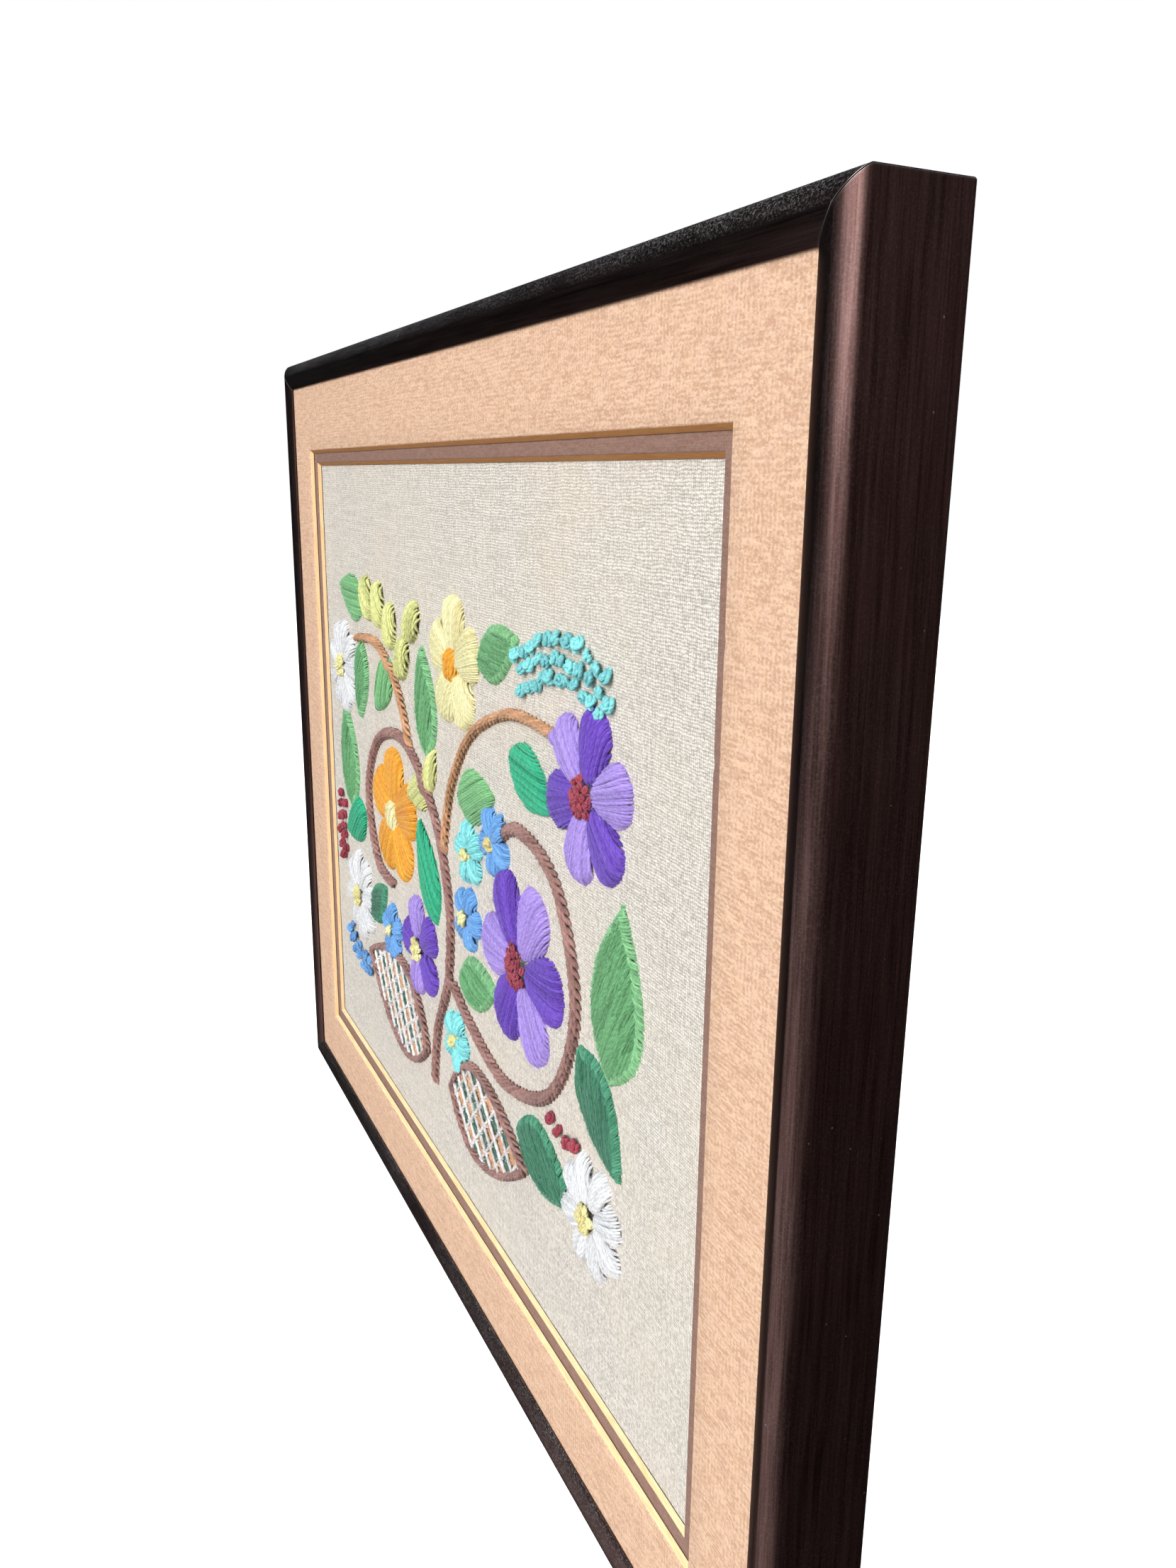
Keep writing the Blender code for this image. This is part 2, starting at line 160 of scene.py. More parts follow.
# The ground cloth is one piece of ivory plain weave, 35 threads to the inch each way,
# stretched flat over the backing board. Its threads are uneven, with slubs and dark flecks.
WINDOW_WIDTH = 305.0 * MM
WINDOW_HEIGHT = 240.5 * MM
WINDOW_MIDDLE = 151.25 * MM
SHEET_WIDTH = 365.6 * MM
SHEET_HEIGHT = 301.4 * MM
SHEET_MIDDLE = 152.3 * MM
CLOTH_FACE = -5.5 * MM
CLOTH_THICK = 0.8 * MM
CLOTH_STEP = 5.0 * MM
THREAD_PITCH = 0.72 * MM
worked = np.random.default_rng(1207)


def waves(x, z, seed, length):
    """Slow hills and hollows between -1 and 1, as a sum of a few crossed waves."""
    turns = np.random.default_rng(seed).uniform(0, 2 * math.pi, (4, 2))
    total = 0
    for angle, phase in turns:
        total = total + np.sin((x * math.cos(angle) + z * math.sin(angle)) * 2 * math.pi / length + phase)
    return total / 4


def new_piece(name, corners, faces, *materials):
    """A smooth-shaded mesh object at the origin."""
    mesh = bpy.data.meshes.new(name)
    mesh.from_pydata([tuple(corner) for corner in corners], [], faces)
    mesh.shade_smooth()
    for material in materials:
        mesh.materials.append(material)
    piece = bpy.data.objects.new(name, mesh)
    bpy.context.scene.collection.objects.link(piece)
    return piece


def cloth_sheet():
    """The sheet's corners and faces: a lightly wavy front, a flat back and the cut edges."""
    columns = round(SHEET_WIDTH / CLOTH_STEP)
    rows = round(SHEET_HEIGHT / CLOTH_STEP)
    x = np.linspace(-SHEET_WIDTH / 2, SHEET_WIDTH / 2, columns + 1)
    z = SHEET_MIDDLE + np.linspace(-SHEET_HEIGHT / 2, SHEET_HEIGHT / 2, rows + 1)
    x, z = (side.ravel() for side in np.meshgrid(x, z))
    front = CLOTH_FACE + 0.08 * MM * waves(x, z, 3, 46 * MM) + 0.05 * MM * waves(x, z, 4, 17 * MM)
    back = np.full_like(front, CLOTH_FACE + CLOTH_THICK)
    corners = np.vstack([np.c_[x, front, z], np.c_[x, back, z]])
    across = columns + 1
    size = across * (rows + 1)
    faces = []
    for row in range(rows):
        for column in range(columns):
            a = row * across + column
            faces.append((a, a + 1, a + 1 + across, a + across))
            faces.append((size + a, size + a + across, size + a + 1 + across, size + a + 1))
    rim = [*range(columns), *(columns + row * across for row in range(rows)),
           *(rows * across + column for column in range(columns, 0, -1)),
           *(row * across for row in range(rows, 0, -1))]
    for a, b in zip(rim, rim[1:] + rim[:1]):
        faces.append((b, a, size + a, size + b))
    return corners, faces


ivory, tree, shader = finish("ivory_plain_weave", linear("DCD0BE"), 0.96)
shader.inputs["Sheen Weight"].default_value = 0.15
shader.inputs["Specular IOR Level"].default_value = 0.2
place = add(tree, "ShaderNodeTexCoord").outputs["Object"]
wander = add(tree, "ShaderNodeTexNoise", {"Vector": place, "Scale": 130.0, "Detail": 2.0})
drift = add(tree, "ShaderNodeVectorMath", {0: wander.outputs["Color"], 1: (0.5, 0.5, 0.5)}, operation="SUBTRACT")
moved = add(tree, "ShaderNodeVectorMath", {0: drift.outputs[0], "Scale": 1.2 * MM}, operation="SCALE")
wavy = add(tree, "ShaderNodeVectorMath", {0: place, 1: moved.outputs[0]}, operation="ADD").outputs[0]
wander = add(tree, "ShaderNodeTexNoise", {"Vector": place, "Scale": 620.0, "Detail": 1.0})
drift = add(tree, "ShaderNodeVectorMath", {0: wander.outputs["Color"], 1: (0.5, 0.5, 0.5)}, operation="SUBTRACT")
moved = add(tree, "ShaderNodeVectorMath", {0: drift.outputs[0], "Scale": 0.75 * MM}, operation="SCALE")
wavy = add(tree, "ShaderNodeVectorMath", {0: wavy, 1: moved.outputs[0]}, operation="ADD").outputs[0]
apart = add(tree, "ShaderNodeSeparateXYZ", {0: wavy})
warp_wave = calc(tree, "SINE", calc(tree, "MULTIPLY", apart.outputs["X"], math.pi / THREAD_PITCH))
weft_wave = calc(tree, "SINE", calc(tree, "MULTIPLY", apart.outputs["Z"], math.pi / THREAD_PITCH))
over = calc(tree, "MULTIPLY", warp_wave, weft_wave)
warp_size = noise(tree, object_place(tree, (1 / THREAD_PITCH, 1.0, 55.0)), 1.0, 1)
weft_size = noise(tree, object_place(tree, (42.0, 1.0, 1 / THREAD_PITCH)), 1.0, 1)
warp_round = calc(tree, "POWER", calc(tree, "ABSOLUTE", warp_wave), 0.7)
weft_round = calc(tree, "POWER", calc(tree, "ABSOLUTE", weft_wave), 0.7)
warp_lift = calc(tree, "MULTIPLY", warp_round, calc(tree, "MULTIPLY_ADD", over, 0.42, 0.52))
weft_lift = calc(tree, "MULTIPLY", weft_round, calc(tree, "MULTIPLY_ADD", over, -0.42, 0.58))
warp_top = calc(tree, "MULTIPLY", warp_lift, stretch(tree, warp_size, 0.3, 0.75, 0.62, 1.28))
weft_top = calc(tree, "MULTIPLY", weft_lift, stretch(tree, weft_size, 0.3, 0.75, 0.62, 1.42))
weave = calc(tree, "MAXIMUM", warp_top, weft_top)
pits = stretch(tree, noise(tree, place, 950, 3, 0.6), 0.35, 0.65, -0.24, 0.24)
# Painted shade: the thread colour darkens where the weave sinks between the threads, and also in random pits.
threads_with_painted_shade = blended(tree, stretch(tree, calc(tree, "ADD", weave, pits), 0.18, 1.0), linear("A9A095"), linear("EBE3DA"))
warmer = noise(tree, place, 26, 4, 0.6)
toned = blended(tree, stretch(tree, warmer, 0.42, 0.72, 0.0, 0.32), threads_with_painted_shade, linear("DDCCB6"))
stain = noise(tree, place, 9, 3, 0.6)
aged = blended(tree, stretch(tree, stain, 0.54, 0.78, 0.0, 0.26), toned, linear("D6C2A6"))
flecks = add(tree, "ShaderNodeTexVoronoi", {"Vector": place, "Scale": 115.0})
far = calc(tree, "ADD", flecks.outputs["Distance"], calc(tree, "MULTIPLY", noise(tree, place, 2600, 1), 0.04))
chosen = add(tree, "ShaderNodeSeparateColor", {0: flecks.outputs["Color"]})
rare = calc(tree, "GREATER_THAN", chosen.outputs[0], 0.80)
spot = calc(tree, "MULTIPLY", rare, stretch(tree, far, 0.030, 0.052, 0.8, 0.0))
fleck_colour = blended(tree, chosen.outputs[1], linear("3C3A55"), linear("6A4430"))
tree.links.new(blended(tree, spot, aged, fleck_colour), shader.inputs["Base Color"])
bump(tree, shader, weave, 0.26 * MM, 0.85)

ground_cloth = new_piece("ground_cloth_sheet", *cloth_sheet(), ivory)
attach(ground_cloth, "root")
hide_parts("ground_cloth")

# The leaves are crewel wool about 0.8 mm thick, laid in close stitches over soft padding.
# Places and sizes are in millimetres from the middle of the mats' window, as in the solid.
LEAF_HEIGHT = 2.2 * MM
STRAND_RADIUS = 0.42 * MM
LEAVES = (
    ((-119, 5), 42, 21, 98, "leaf_green"),
    ((-112, -20), 30, 16, 208, "emerald"),
    ((-25, -14), 36, 18, 116, "emerald"),
    ((-33, 11), 24, 12, 195, "lime"),
    ((109, -3), 46, 23, 84, "leaf_green"),
    ((101, -36), 34, 17, -48, "dark_green"),
    ((69, -68), 38, 18, -8, "dark_green"),
    ((-70, 40), 28, 14, 228, "mid_green"),
    ((-98, 38), 30, 15, 262, "leaf_green"),
    ((20, 22), 30, 15, 12, "mid_green"),
    ((60, 36), 30, 15, 340, "emerald"),
    ((38, 66), 30, 14, 20, "leaf_green"),
    ((-24, 42), 36, 18, 98, "leaf_green"),
    ((-108, 68), 30, 15, 165, "mid_green"),
    ((20, -36), 32, 15, 14, "leaf_green"),
    ((-20, 21), 18, 9, 60, "lime"),
    ((-84, -44), 26, 13, 40, "dark_green"),
)
DYES = {
    "leaf_green": "58965F", "leaf_rim": "76B07A", "dark_green": "22684B", "dark_rim": "3C8867",
    "emerald": "0CA075", "mid_green": "72B074", "lime": "D4DA88", "brown": "926A62", "tan": "C08E66",
    "fill_tan": "C8966C", "fill_green": "245E48", "lattice_pink": "EDE0DC", "orange": "FF981C",
    "yellow": "FFEAA2", "pale_yellow": "FDE494", "purple": "5C32A8", "lilac": "9C82D2",
    "white": "E8E7EC", "burgundy": "962A3E", "blue": "6098DC", "turquoise": "7ACFD5",
}


def leaf_girth(s):
    rounded = np.sqrt(np.clip(1 - s * s, 0, 1)) * np.sqrt(np.clip(1 - np.abs(s) ** 2.5, 0, 1))
    return rounded * (1 - 0.35 * s) * 1.05


class Pad:
    """A raised oval of stitches: its middle, half sizes, direction, how wide it is along its length."""

    def __init__(self, middle, length, width, degrees, girth, height):
        angle = math.radians(degrees)
        self.middle = np.array(middle) * MM
        self.half_length = length / 2 * MM
        self.half_width = width / 2 * MM
        self.along = np.array((math.cos(angle), math.sin(angle)))
        self.across = np.array((-math.sin(angle), math.cos(angle)))
        self.girth = girth
        self.height = height

    def split(self, points):
        offset = points - self.middle
        return offset @ self.along / self.half_length, offset @ self.across

    def room(self, points):
        """How far inside the outline the points are, measured across. It is negative outside."""
        s, side = self.split(points)
        inside = self.half_width * self.girth(np.clip(s, -1, 1)) - np.abs(side)
        return np.where(np.abs(s) < 1, inside, -1.0)

    def rise(self, points):
        s, side = self.split(points)
        t = side / np.maximum(self.half_width * self.girth(np.clip(s, -1, 1)), 1e-9)
        inside = np.clip(1 - t * t, 0, 1) * np.clip(1 - s ** 4, 0, 1)
        return np.where(np.abs(s) < 1, self.height * np.sqrt(inside), 0.0)

    def outline(self, count=160):
        """Points round the edge, from the foot up one side to the tip and back down the other."""
        around = np.linspace(0, 2 * math.pi, count, endpoint=False)
        s = -np.cos(around)
        side = np.where(around < math.pi, -1, 1) * self.half_width * self.girth(s)
        return self.middle + np.outer(s * self.half_length, self.along) + np.outer(side, self.across)


class Relief:
    """How far the work so far stands out from the cloth, kept on a half-millimetre raster."""

    def __init__(self):
        self.step = 0.5 * MM
        self.across = int(WINDOW_WIDTH / self.step) + 1
        self.up = int(WINDOW_HEIGHT / self.step) + 1
        self.heights = np.zeros((self.up, self.across))
        x = (np.arange(self.across) * self.step) - WINDOW_WIDTH / 2
        z = (np.arange(self.up) * self.step) - WINDOW_HEIGHT / 2
        self.places = np.stack(np.meshgrid(x, z), axis=-1)

    def at(self, points):
        column = np.clip((points[:, 0] + WINDOW_WIDTH / 2) / self.step, 0, self.across - 1.001)
        row = np.clip((points[:, 1] + WINDOW_HEIGHT / 2) / self.step, 0, self.up - 1.001)
        i, j = row.astype(int), column.astype(int)
        v, u = row - i, column - j
        low = self.heights[i, j] * (1 - u) + self.heights[i, j + 1] * u
        high = self.heights[i + 1, j] * (1 - u) + self.heights[i + 1, j + 1] * u
        return low * (1 - v) + high * v

    def add(self, middle, reach, rise):
        """Adds one shape that reaches so far from its middle."""
        column = (middle[0] + WINDOW_WIDTH / 2) / self.step
        row = (middle[1] + WINDOW_HEIGHT / 2) / self.step
        cells = reach / self.step + 2
        rows = slice(max(0, int(row - cells)), int(row + cells))
        columns = slice(max(0, int(column - cells)), int(column + cells))
        part = self.places[rows, columns]
        found = rise(part.reshape(-1, 2)).reshape(part.shape[:2])
        self.heights[rows, columns] = np.maximum(self.heights[rows, columns], found)


def chord(pad, tail, head):
    """The two ends of the part of a straight line that lies inside a pad, or None."""
    shares = np.linspace(0, 1, 140)
    inside = np.nonzero(pad.room(tail + np.outer(shares, head - tail)) > 0)[0]
    if len(inside) < 3:
        return None
    ends = []
    for kept, outside in ((inside[0], inside[0] - 1), (inside[-1], inside[-1] + 1)):
        near, far = shares[kept], shares[min(max(outside, 0), len(shares) - 1)]
        for _ in range(9):
            middle = (near + far) / 2
            if pad.room((tail + middle * (head - tail))[None])[0] > 0:
                near = middle
            else:
                far = middle
        ends.append(tail + near * (head - tail))
    return ends


def satin(pad, spacing, slant=0.0, fan=0.0):
    """Straight stitches side by side across a pad, spreading towards its tip by the fan's share."""
    turn = math.radians(slant)
    along = pad.along * math.cos(turn) + pad.across * math.sin(turn)
    across = pad.across * math.cos(turn) - pad.along * math.sin(turn)
    span = np.abs((pad.outline() - pad.middle) @ across).max() * (1 + 0.6 * fan)
    reach = 1.15 * max(pad.half_length, pad.half_width)
    count = max(3, round(2 * span / spacing))
    ends = []
    for i in range(count):
        side = ((i + 0.5) / count * 2 - 1) * span
        found = chord(pad, pad.middle - along * reach + across * side * (1 - fan),
                      pad.middle + along * reach + across * side)
        if found and np.linalg.norm(found[1] - found[0]) > 0.9 * MM:
            ends.append(found)
    return ends


def laid(start, end, rise, radius, height, step=1.5 * MM, lift=0.0, dips=(1.0, 1.0)):
    """One stitch as a line of points over the work below it. Each end dives by its share of dips."""
    run = (end - start) / max(np.linalg.norm(end - start), 1e-9)
    start, end = start + run * worked.normal(0, 0.2 * MM), end + run * worked.normal(0, 0.2 * MM)
    length = np.linalg.norm(end - start)
    count = max(5, math.ceil(length / step) + 1)
    even = np.linspace(0, 1, count)
    share = 0.45 * even + 0.55 * (0.5 - 0.5 * np.cos(math.pi * even))
    side = np.array((start[1] - end[1], end[0] - start[0])) / max(length, 1e-9)
    sway = worked.normal(0, 0.10 * MM) * np.sin(math.pi * share) + worked.normal(0, 0.07 * MM) * np.sin(
        2 * math.pi * share + worked.uniform(0, 6))
    places = start + np.outer(share, end - start) + np.outer(sway, side)
    below = relief.at(places)
    own = rise(places) * (height - radius) / height + lift
    high = np.maximum(own, np.where(below > 0.3 * MM, below + 0.25 * MM, 0.0))
    high = high + worked.normal(0, 0.09 * MM)
    dive = np.maximum(0, 1 - share * length / (1.1 * MM)) * dips[0]
    dive += np.maximum(0, 1 - (1 - share) * length / (1.1 * MM)) * dips[1]
    high = high - dive * (0.3 * MM + 0.5 * radius)
    uneven = 1 + 0.07 * np.sin(share * length / (2.2 * MM) + worked.uniform(0, 6))
    thick = radius * worked.uniform(0.82, 1.12) * uneven * (1 - 0.25 * np.minimum(1, dive))
    return places, high, thick


def cased(stitches):
    """Points, edges and attributes of many stitches, as arrays for one mesh."""
    points, edges, thick, shade, count = [], [], [], [], 0
    for places, high, radius in stitches:
        size = len(places)
        points.append(np.c_[places[:, 0], CLOTH_FACE - high, WINDOW_MIDDLE + places[:, 1]])
        first = np.arange(size - 1) + count
        edges.append(np.c_[first, first + 1])
        thick.append(np.broadcast_to(radius, size))
        shade.append(np.full(size, worked.uniform(0, 1)))
        count += size
    return [np.concatenate(part) for part in (points, edges, thick, shade)]


def new_tree(name, sockets):
    """A Geometry Nodes tree with a geometry input and output and the named inputs."""
    made = bpy.data.node_groups.new(name, "GeometryNodeTree")
    made.interface.new_socket("Geometry", in_out="OUTPUT", socket_type="NodeSocketGeometry")
    made.interface.new_socket("Geometry", in_out="INPUT", socket_type="NodeSocketGeometry")
    for label, kind in sockets:
        made.interface.new_socket(label, in_out="INPUT", socket_type="NodeSocket" + kind)
    given = made.nodes.new("NodeGroupInput").outputs
    return made, given, made.nodes.new("NodeGroupOutput")


def stored(tree, geometry, name, value):
    """Keeps a value on the points under a name."""
    node = add(tree, "GeometryNodeStoreNamedAttribute", {"Geometry": geometry, "Name": name, "Value": value})
    return node.outputs[0]


# Loose fibres lie over the wool and stand out from it a little, which gives it its soft edge. They are coloured lighter
# than the strands as a painted highlight.
fibre_tree, given, result = new_tree("loose_fibres", (
    ("Density", "Float"), ("Length", "Float"), ("Thickness", "Float"), ("Seed", "Int")))
facing = add(fibre_tree, "ShaderNodeSeparateXYZ", {0: add(fibre_tree, "GeometryNodeInputNormal").outputs[0]})
in_front = calc(fibre_tree, "LESS_THAN", facing.outputs[1], -0.25)
spots = add(fibre_tree, "GeometryNodeDistributePointsOnFaces", {
    "Mesh": given["Geometry"], "Selection": in_front, "Density": given["Density"], "Seed": given["Seed"]})
line = add(fibre_tree, "GeometryNodeCurvePrimitiveLine", {"End": (0, 0, 1)})
line = add(fibre_tree, "GeometryNodeResampleCurve", {"Curve": line.outputs[0], "Count": 3})
factor = add(fibre_tree, "GeometryNodeSplineParameter").outputs["Factor"]
curl = calc(fibre_tree, "MULTIPLY", calc(fibre_tree, "POWER", factor, 2.0), 0.6)
sideways = calc(fibre_tree, "MULTIPLY", calc(fibre_tree, "SINE", calc(fibre_tree, "MULTIPLY", factor, 4.5)), 0.22)
bend = add(fibre_tree, "ShaderNodeCombineXYZ", {0: curl, 1: sideways})
line = add(fibre_tree, "GeometryNodeSetPosition", {"Geometry": line.outputs[0], "Offset": bend.outputs[0]})
scaled = calc(fibre_tree, "DIVIDE", given["Thickness"], given["Length"])
triangle = add(fibre_tree, "GeometryNodeCurvePrimitiveCircle", {"Resolution": 3, "Radius": 1.0})
taper = calc(fibre_tree, "MULTIPLY", scaled, calc(fibre_tree, "MULTIPLY_ADD", factor, -0.5, 1.0))
hair = add(fibre_tree, "GeometryNodeCurveToMesh", {
    "Curve": line.outputs[0], "Profile Curve": triangle.outputs[0], "Scale": taper, "Fill Caps": True})
# Painted highlight: a shade value of 1.9 makes the wool's material colour these fibres lighter than the strands.
painted_lit_hair = stored(fibre_tree, hair.outputs[0], "shade", 1.9)
lean = add(fibre_tree, "FunctionNodeRandomValue", {
    0: (0.75, 0.0, 0.0), 1: (1.5, 0.0, 0.0), "Seed": given["Seed"]}, data_type="FLOAT_VECTOR")
spin = add(fibre_tree, "FunctionNodeRandomValue", {
    0: (0.0, 0.0, 0.0), 1: (0.0, 0.0, 6.2832), "Seed": 5}, data_type="FLOAT_VECTOR")
leaning = add(fibre_tree, "FunctionNodeEulerToRotation", {0: lean.outputs[0]})
spinning = add(fibre_tree, "FunctionNodeEulerToRotation", {0: spin.outputs[0]})
turned_round = add(fibre_tree, "FunctionNodeRotateRotation", {
    "Rotation": spots.outputs["Rotation"], "Rotate By": spinning.outputs[0]}, rotation_space="LOCAL")
tipped = add(fibre_tree, "FunctionNodeRotateRotation", {
    "Rotation": turned_round.outputs[0], "Rotate By": leaning.outputs[0]}, rotation_space="LOCAL")
longer = add(fibre_tree, "FunctionNodeRandomValue", {2: 0.45, 3: 1.4, "Seed": 9}, data_type="FLOAT")
reach = calc(fibre_tree, "MULTIPLY", longer.outputs[1], given["Length"])
hairs = add(fibre_tree, "GeometryNodeInstanceOnPoints", {
    "Points": spots.outputs["Points"], "Instance": painted_lit_hair, "Rotation": tipped.outputs[0], "Scale": reach})
real = add(fibre_tree, "GeometryNodeRealizeInstances", {"Geometry": hairs.outputs[0]})
both = add(fibre_tree, "GeometryNodeJoinGeometry")
fibre_tree.links.new(real.outputs[0], both.inputs[0])
fibre_tree.links.new(given["Geometry"], both.inputs[0])
fibre_tree.links.new(both.outputs[0], result.inputs[0])

YARN_INPUTS = (("Sides", "Int"), ("Ply Depth", "Float"), ("Twist", "Float"), ("Fibre Density", "Float"),
               ("Fibre Length", "Float"), ("Fibre Thickness", "Float"), ("Seed", "Int"), ("Wool", "Material"))


def spun(tree, given, line, scale):
    """Sweeps a two-ply section along curves, twisting as it goes. Keeps where each point is on the yarn."""
    length = add(tree, "GeometryNodeSplineParameter").outputs["Length"]
    line = stored(tree, line, "along", length)
    line = add(tree, "GeometryNodeSetCurveTilt", {
        "Curve": line, "Tilt": calc(tree, "MULTIPLY", length, given["Twist"])}).outputs[0]
    ring = add(tree, "GeometryNodeCurvePrimitiveCircle", {"Resolution": given["Sides"], "Radius": 1.0}).outputs[0]
    around = add(tree, "GeometryNodeSplineParameter").outputs["Factor"]
    lobes = calc(tree, "COSINE", calc(tree, "MULTIPLY", around, 4 * math.pi))
    where = add(tree, "GeometryNodeInputPosition").outputs[0]
    push = add(tree, "ShaderNodeVectorMath", {
        0: where, "Scale": calc(tree, "MULTIPLY", lobes, given["Ply Depth"])}, operation="SCALE").outputs[0]
    ring = stored(tree, ring, "around", around)
    ring = add(tree, "GeometryNodeSetPosition", {"Geometry": ring, "Offset": push}).outputs[0]
    swept = add(tree, "GeometryNodeCurveToMesh", {
        "Curve": line, "Profile Curve": ring, "Scale": scale, "Fill Caps": True}).outputs[0]
    return swept


def clothed(tree, given, mesh, result):
    """Adds the loose fibres, makes all of it real and gives it the wool's material."""
    fuzzy = add(tree, "GeometryNodeGroup", node_tree=fibre_tree)
    for name, value in (("Geometry", mesh), ("Density", given["Fibre Density"]), ("Length", given["Fibre Length"]),
                        ("Thickness", given["Fibre Thickness"]), ("Seed", given["Seed"])):
        tree.links.new(value, fuzzy.inputs[name])
    smooth = add(tree, "GeometryNodeSetShadeSmooth", {"Geometry": fuzzy.outputs[0]}).outputs[0]
    made_real = add(tree, "GeometryNodeRealizeInstances", {"Geometry": smooth}).outputs[0]
    dressed = add(tree, "GeometryNodeSetMaterial", {"Geometry": made_real, "Material": given["Wool"]}).outputs[0]
    tree.links.new(dressed, result.inputs[0])


yarn_tree, given, result = new_tree("stitched_yarn", YARN_INPUTS)
thread = add(yarn_tree, "GeometryNodeMeshToCurve", {"Mesh": given["Geometry"]}).outputs[0]
thickness = add(yarn_tree, "GeometryNodeInputNamedAttribute", {"Name": "thick"}).outputs[0]
clothed(yarn_tree, given, spun(yarn_tree, given, thread, thickness), result)


def wool(dye):
    """Dyed crewel wool of two plies: fibres that wind round the strand, painted shade between the plies, and a soft
    sheen.
    """
    if "wool_" + dye in bpy.data.materials:
        return bpy.data.materials["wool_" + dye]
    colour = linear(DYES[dye])
    made, tree, shader = finish("wool_" + dye, colour, 0.95)
    shader.inputs["Sheen Weight"].default_value = 0.42
    shader.inputs["Sheen Roughness"].default_value = 0.40
    shader.inputs["Sheen Tint"].default_value = (*(0.5 + 0.5 * c for c in colour), 1.0)
    shader.inputs["Specular IOR Level"].default_value = 0.15
    strand = add(tree, "ShaderNodeSeparateXYZ", {0: add(tree, "ShaderNodeUVMap", uv_map="Strand").outputs[0]})
    shade = add(tree, "ShaderNodeAttribute", attribute_name="shade").outputs["Fac"]
    turn = calc(tree, "MULTIPLY", calc(tree, "MULTIPLY_ADD", shade, 7.3, strand.outputs[1]), 2 * math.pi)
    along = calc(tree, "MULTIPLY_ADD", shade, 60.0, calc(tree, "MULTIPLY", strand.outputs[0], 760.0))
    winding = add(tree, "ShaderNodeCombineXYZ", {
        0: calc(tree, "MULTIPLY", calc(tree, "COSINE", turn), 3.2),
        1: calc(tree, "MULTIPLY", calc(tree, "SINE", turn), 3.2), 2: along}).outputs[0]
    fibres = noise(tree, winding, 1.0, 4, 0.72, 0.5)
    tufts = noise(tree, object_place(tree), 1500, 3, 0.7)
    ply = calc(tree, "COSINE", calc(tree, "MULTIPLY", turn, 2.0))
    tone = calc(tree, "ADD", calc(tree, "MULTIPLY", fibres, 0.55), calc(tree, "MULTIPLY", tufts, 0.30))
    tone = calc(tree, "ADD", tone, calc(tree, "MULTIPLY", shade, 0.15))
    deep = tuple(0.58 * c for c in colour)
    light = tuple(min(0.90, 1.40 * c + 0.05) for c in colour)
    dyed = blended(tree, stretch(tree, tone, 0.36, 0.64), deep, light)
    # Painted shade: the colour is multiplied darker in the valley between the two plies.
    between = stretch(tree, ply, -1.0, -0.2, 0.80, 1.0)
    painted_ply_shade = add(tree, "ShaderNodeCombineColor", {0: between, 1: between, 2: between}).outputs[0]
    tree.links.new(blended(tree, 1.0, dyed, painted_ply_shade, "MULTIPLY"), shader.inputs["Base Color"])
    height = calc(tree, "MULTIPLY_ADD", ply, 0.35, calc(tree, "ADD", fibres, calc(tree, "MULTIPLY", tufts, 0.6)))
    bump(tree, shader, height, 0.16 * MM, 0.75)
    return made


def set_inputs(modifier, values):
    """Sets a Geometry Nodes modifier's inputs by their sockets' identifiers."""
    for item in modifier.node_group.interface.items_tree:
        if item.in_out == "INPUT" and item.name in values:
            modifier[item.identifier] = values[item.name]


def settled(piece, winding, unit=1.0):
    """The piece made a plain mesh, with a map that runs along each strand and winds round it so many times a metre."""
    bpy.context.view_layer.update()
    graph = bpy.context.evaluated_depsgraph_get()
    mesh = bpy.data.meshes.new_from_object(piece.evaluated_get(graph))
    piece.modifiers.clear()
    piece.data = mesh
    mesh.name = piece.name
    around = np.zeros(len(mesh.vertices), np.float32)
    along = np.zeros(len(mesh.vertices), np.float32)
    mesh.attributes["around"].data.foreach_get("value", around)
    mesh.attributes["along"].data.foreach_get("value", along)
    along *= unit
    corner = np.zeros(len(mesh.loops), np.int32)
    mesh.loops.foreach_get("vertex_index", corner)
    first = np.zeros(len(mesh.polygons), np.int32)
    mesh.polygons.foreach_get("loop_start", first)
    turn = around[corner]
    face = np.repeat(np.arange(len(first)), np.diff(np.append(first, len(corner))))
    wide = np.maximum.reduceat(turn, first) - np.minimum.reduceat(turn, first) > 0.5
    turn = np.where(wide[face] & (turn < 0.5), turn + 1, turn)
    turn = turn - winding * along[corner]
    strand_map = mesh.uv_layers.new(name="Strand")
    strand_map.uv.foreach_set("vector", np.c_[along[corner], turn].astype(np.float32).ravel())
    return piece


wool_pieces = []


def sewn(name, stitches, dye, plied=False, fuzz=0.40, fibre=1.3):
    """One piece of yarn from many stitches of one dye, riding with the cloth it is sewn into."""
    points, edges, thick, shade = cased(stitches)
    mesh = bpy.data.meshes.new(name)
    mesh.vertices.add(len(points))
    mesh.vertices.foreach_set("co", points.astype(np.float32).ravel())
    mesh.edges.add(len(edges))
    mesh.edges.foreach_set("vertices", edges.astype(np.int32).ravel())
    for label, values in (("thick", thick), ("shade", shade)):
        mesh.attributes.new(label, "FLOAT", "POINT").data.foreach_set("value", values.astype(np.float32))
    piece = bpy.data.objects.new(name, mesh)
    bpy.context.scene.collection.objects.link(piece)
    modifier = piece.modifiers.new("yarn", "NODES")
    modifier.node_group = yarn_tree
    set_inputs(modifier, {
        "Sides": 8 if plied else 6, "Ply Depth": 0.17 if plied else 0.04,
        "Twist": 2 * math.pi / (5.2 * MM) if plied else 0.0, "Fibre Density": fuzz / MM ** 2,
        "Fibre Length": fibre * MM, "Fibre Thickness": 0.03 * MM, "Seed": len(wool_pieces), "Wool": wool(dye)})
    settled(piece, 0 if plied else 190)
    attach(piece, "root")
    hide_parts("ground_cloth")
    wool_pieces.append(piece)
    return piece


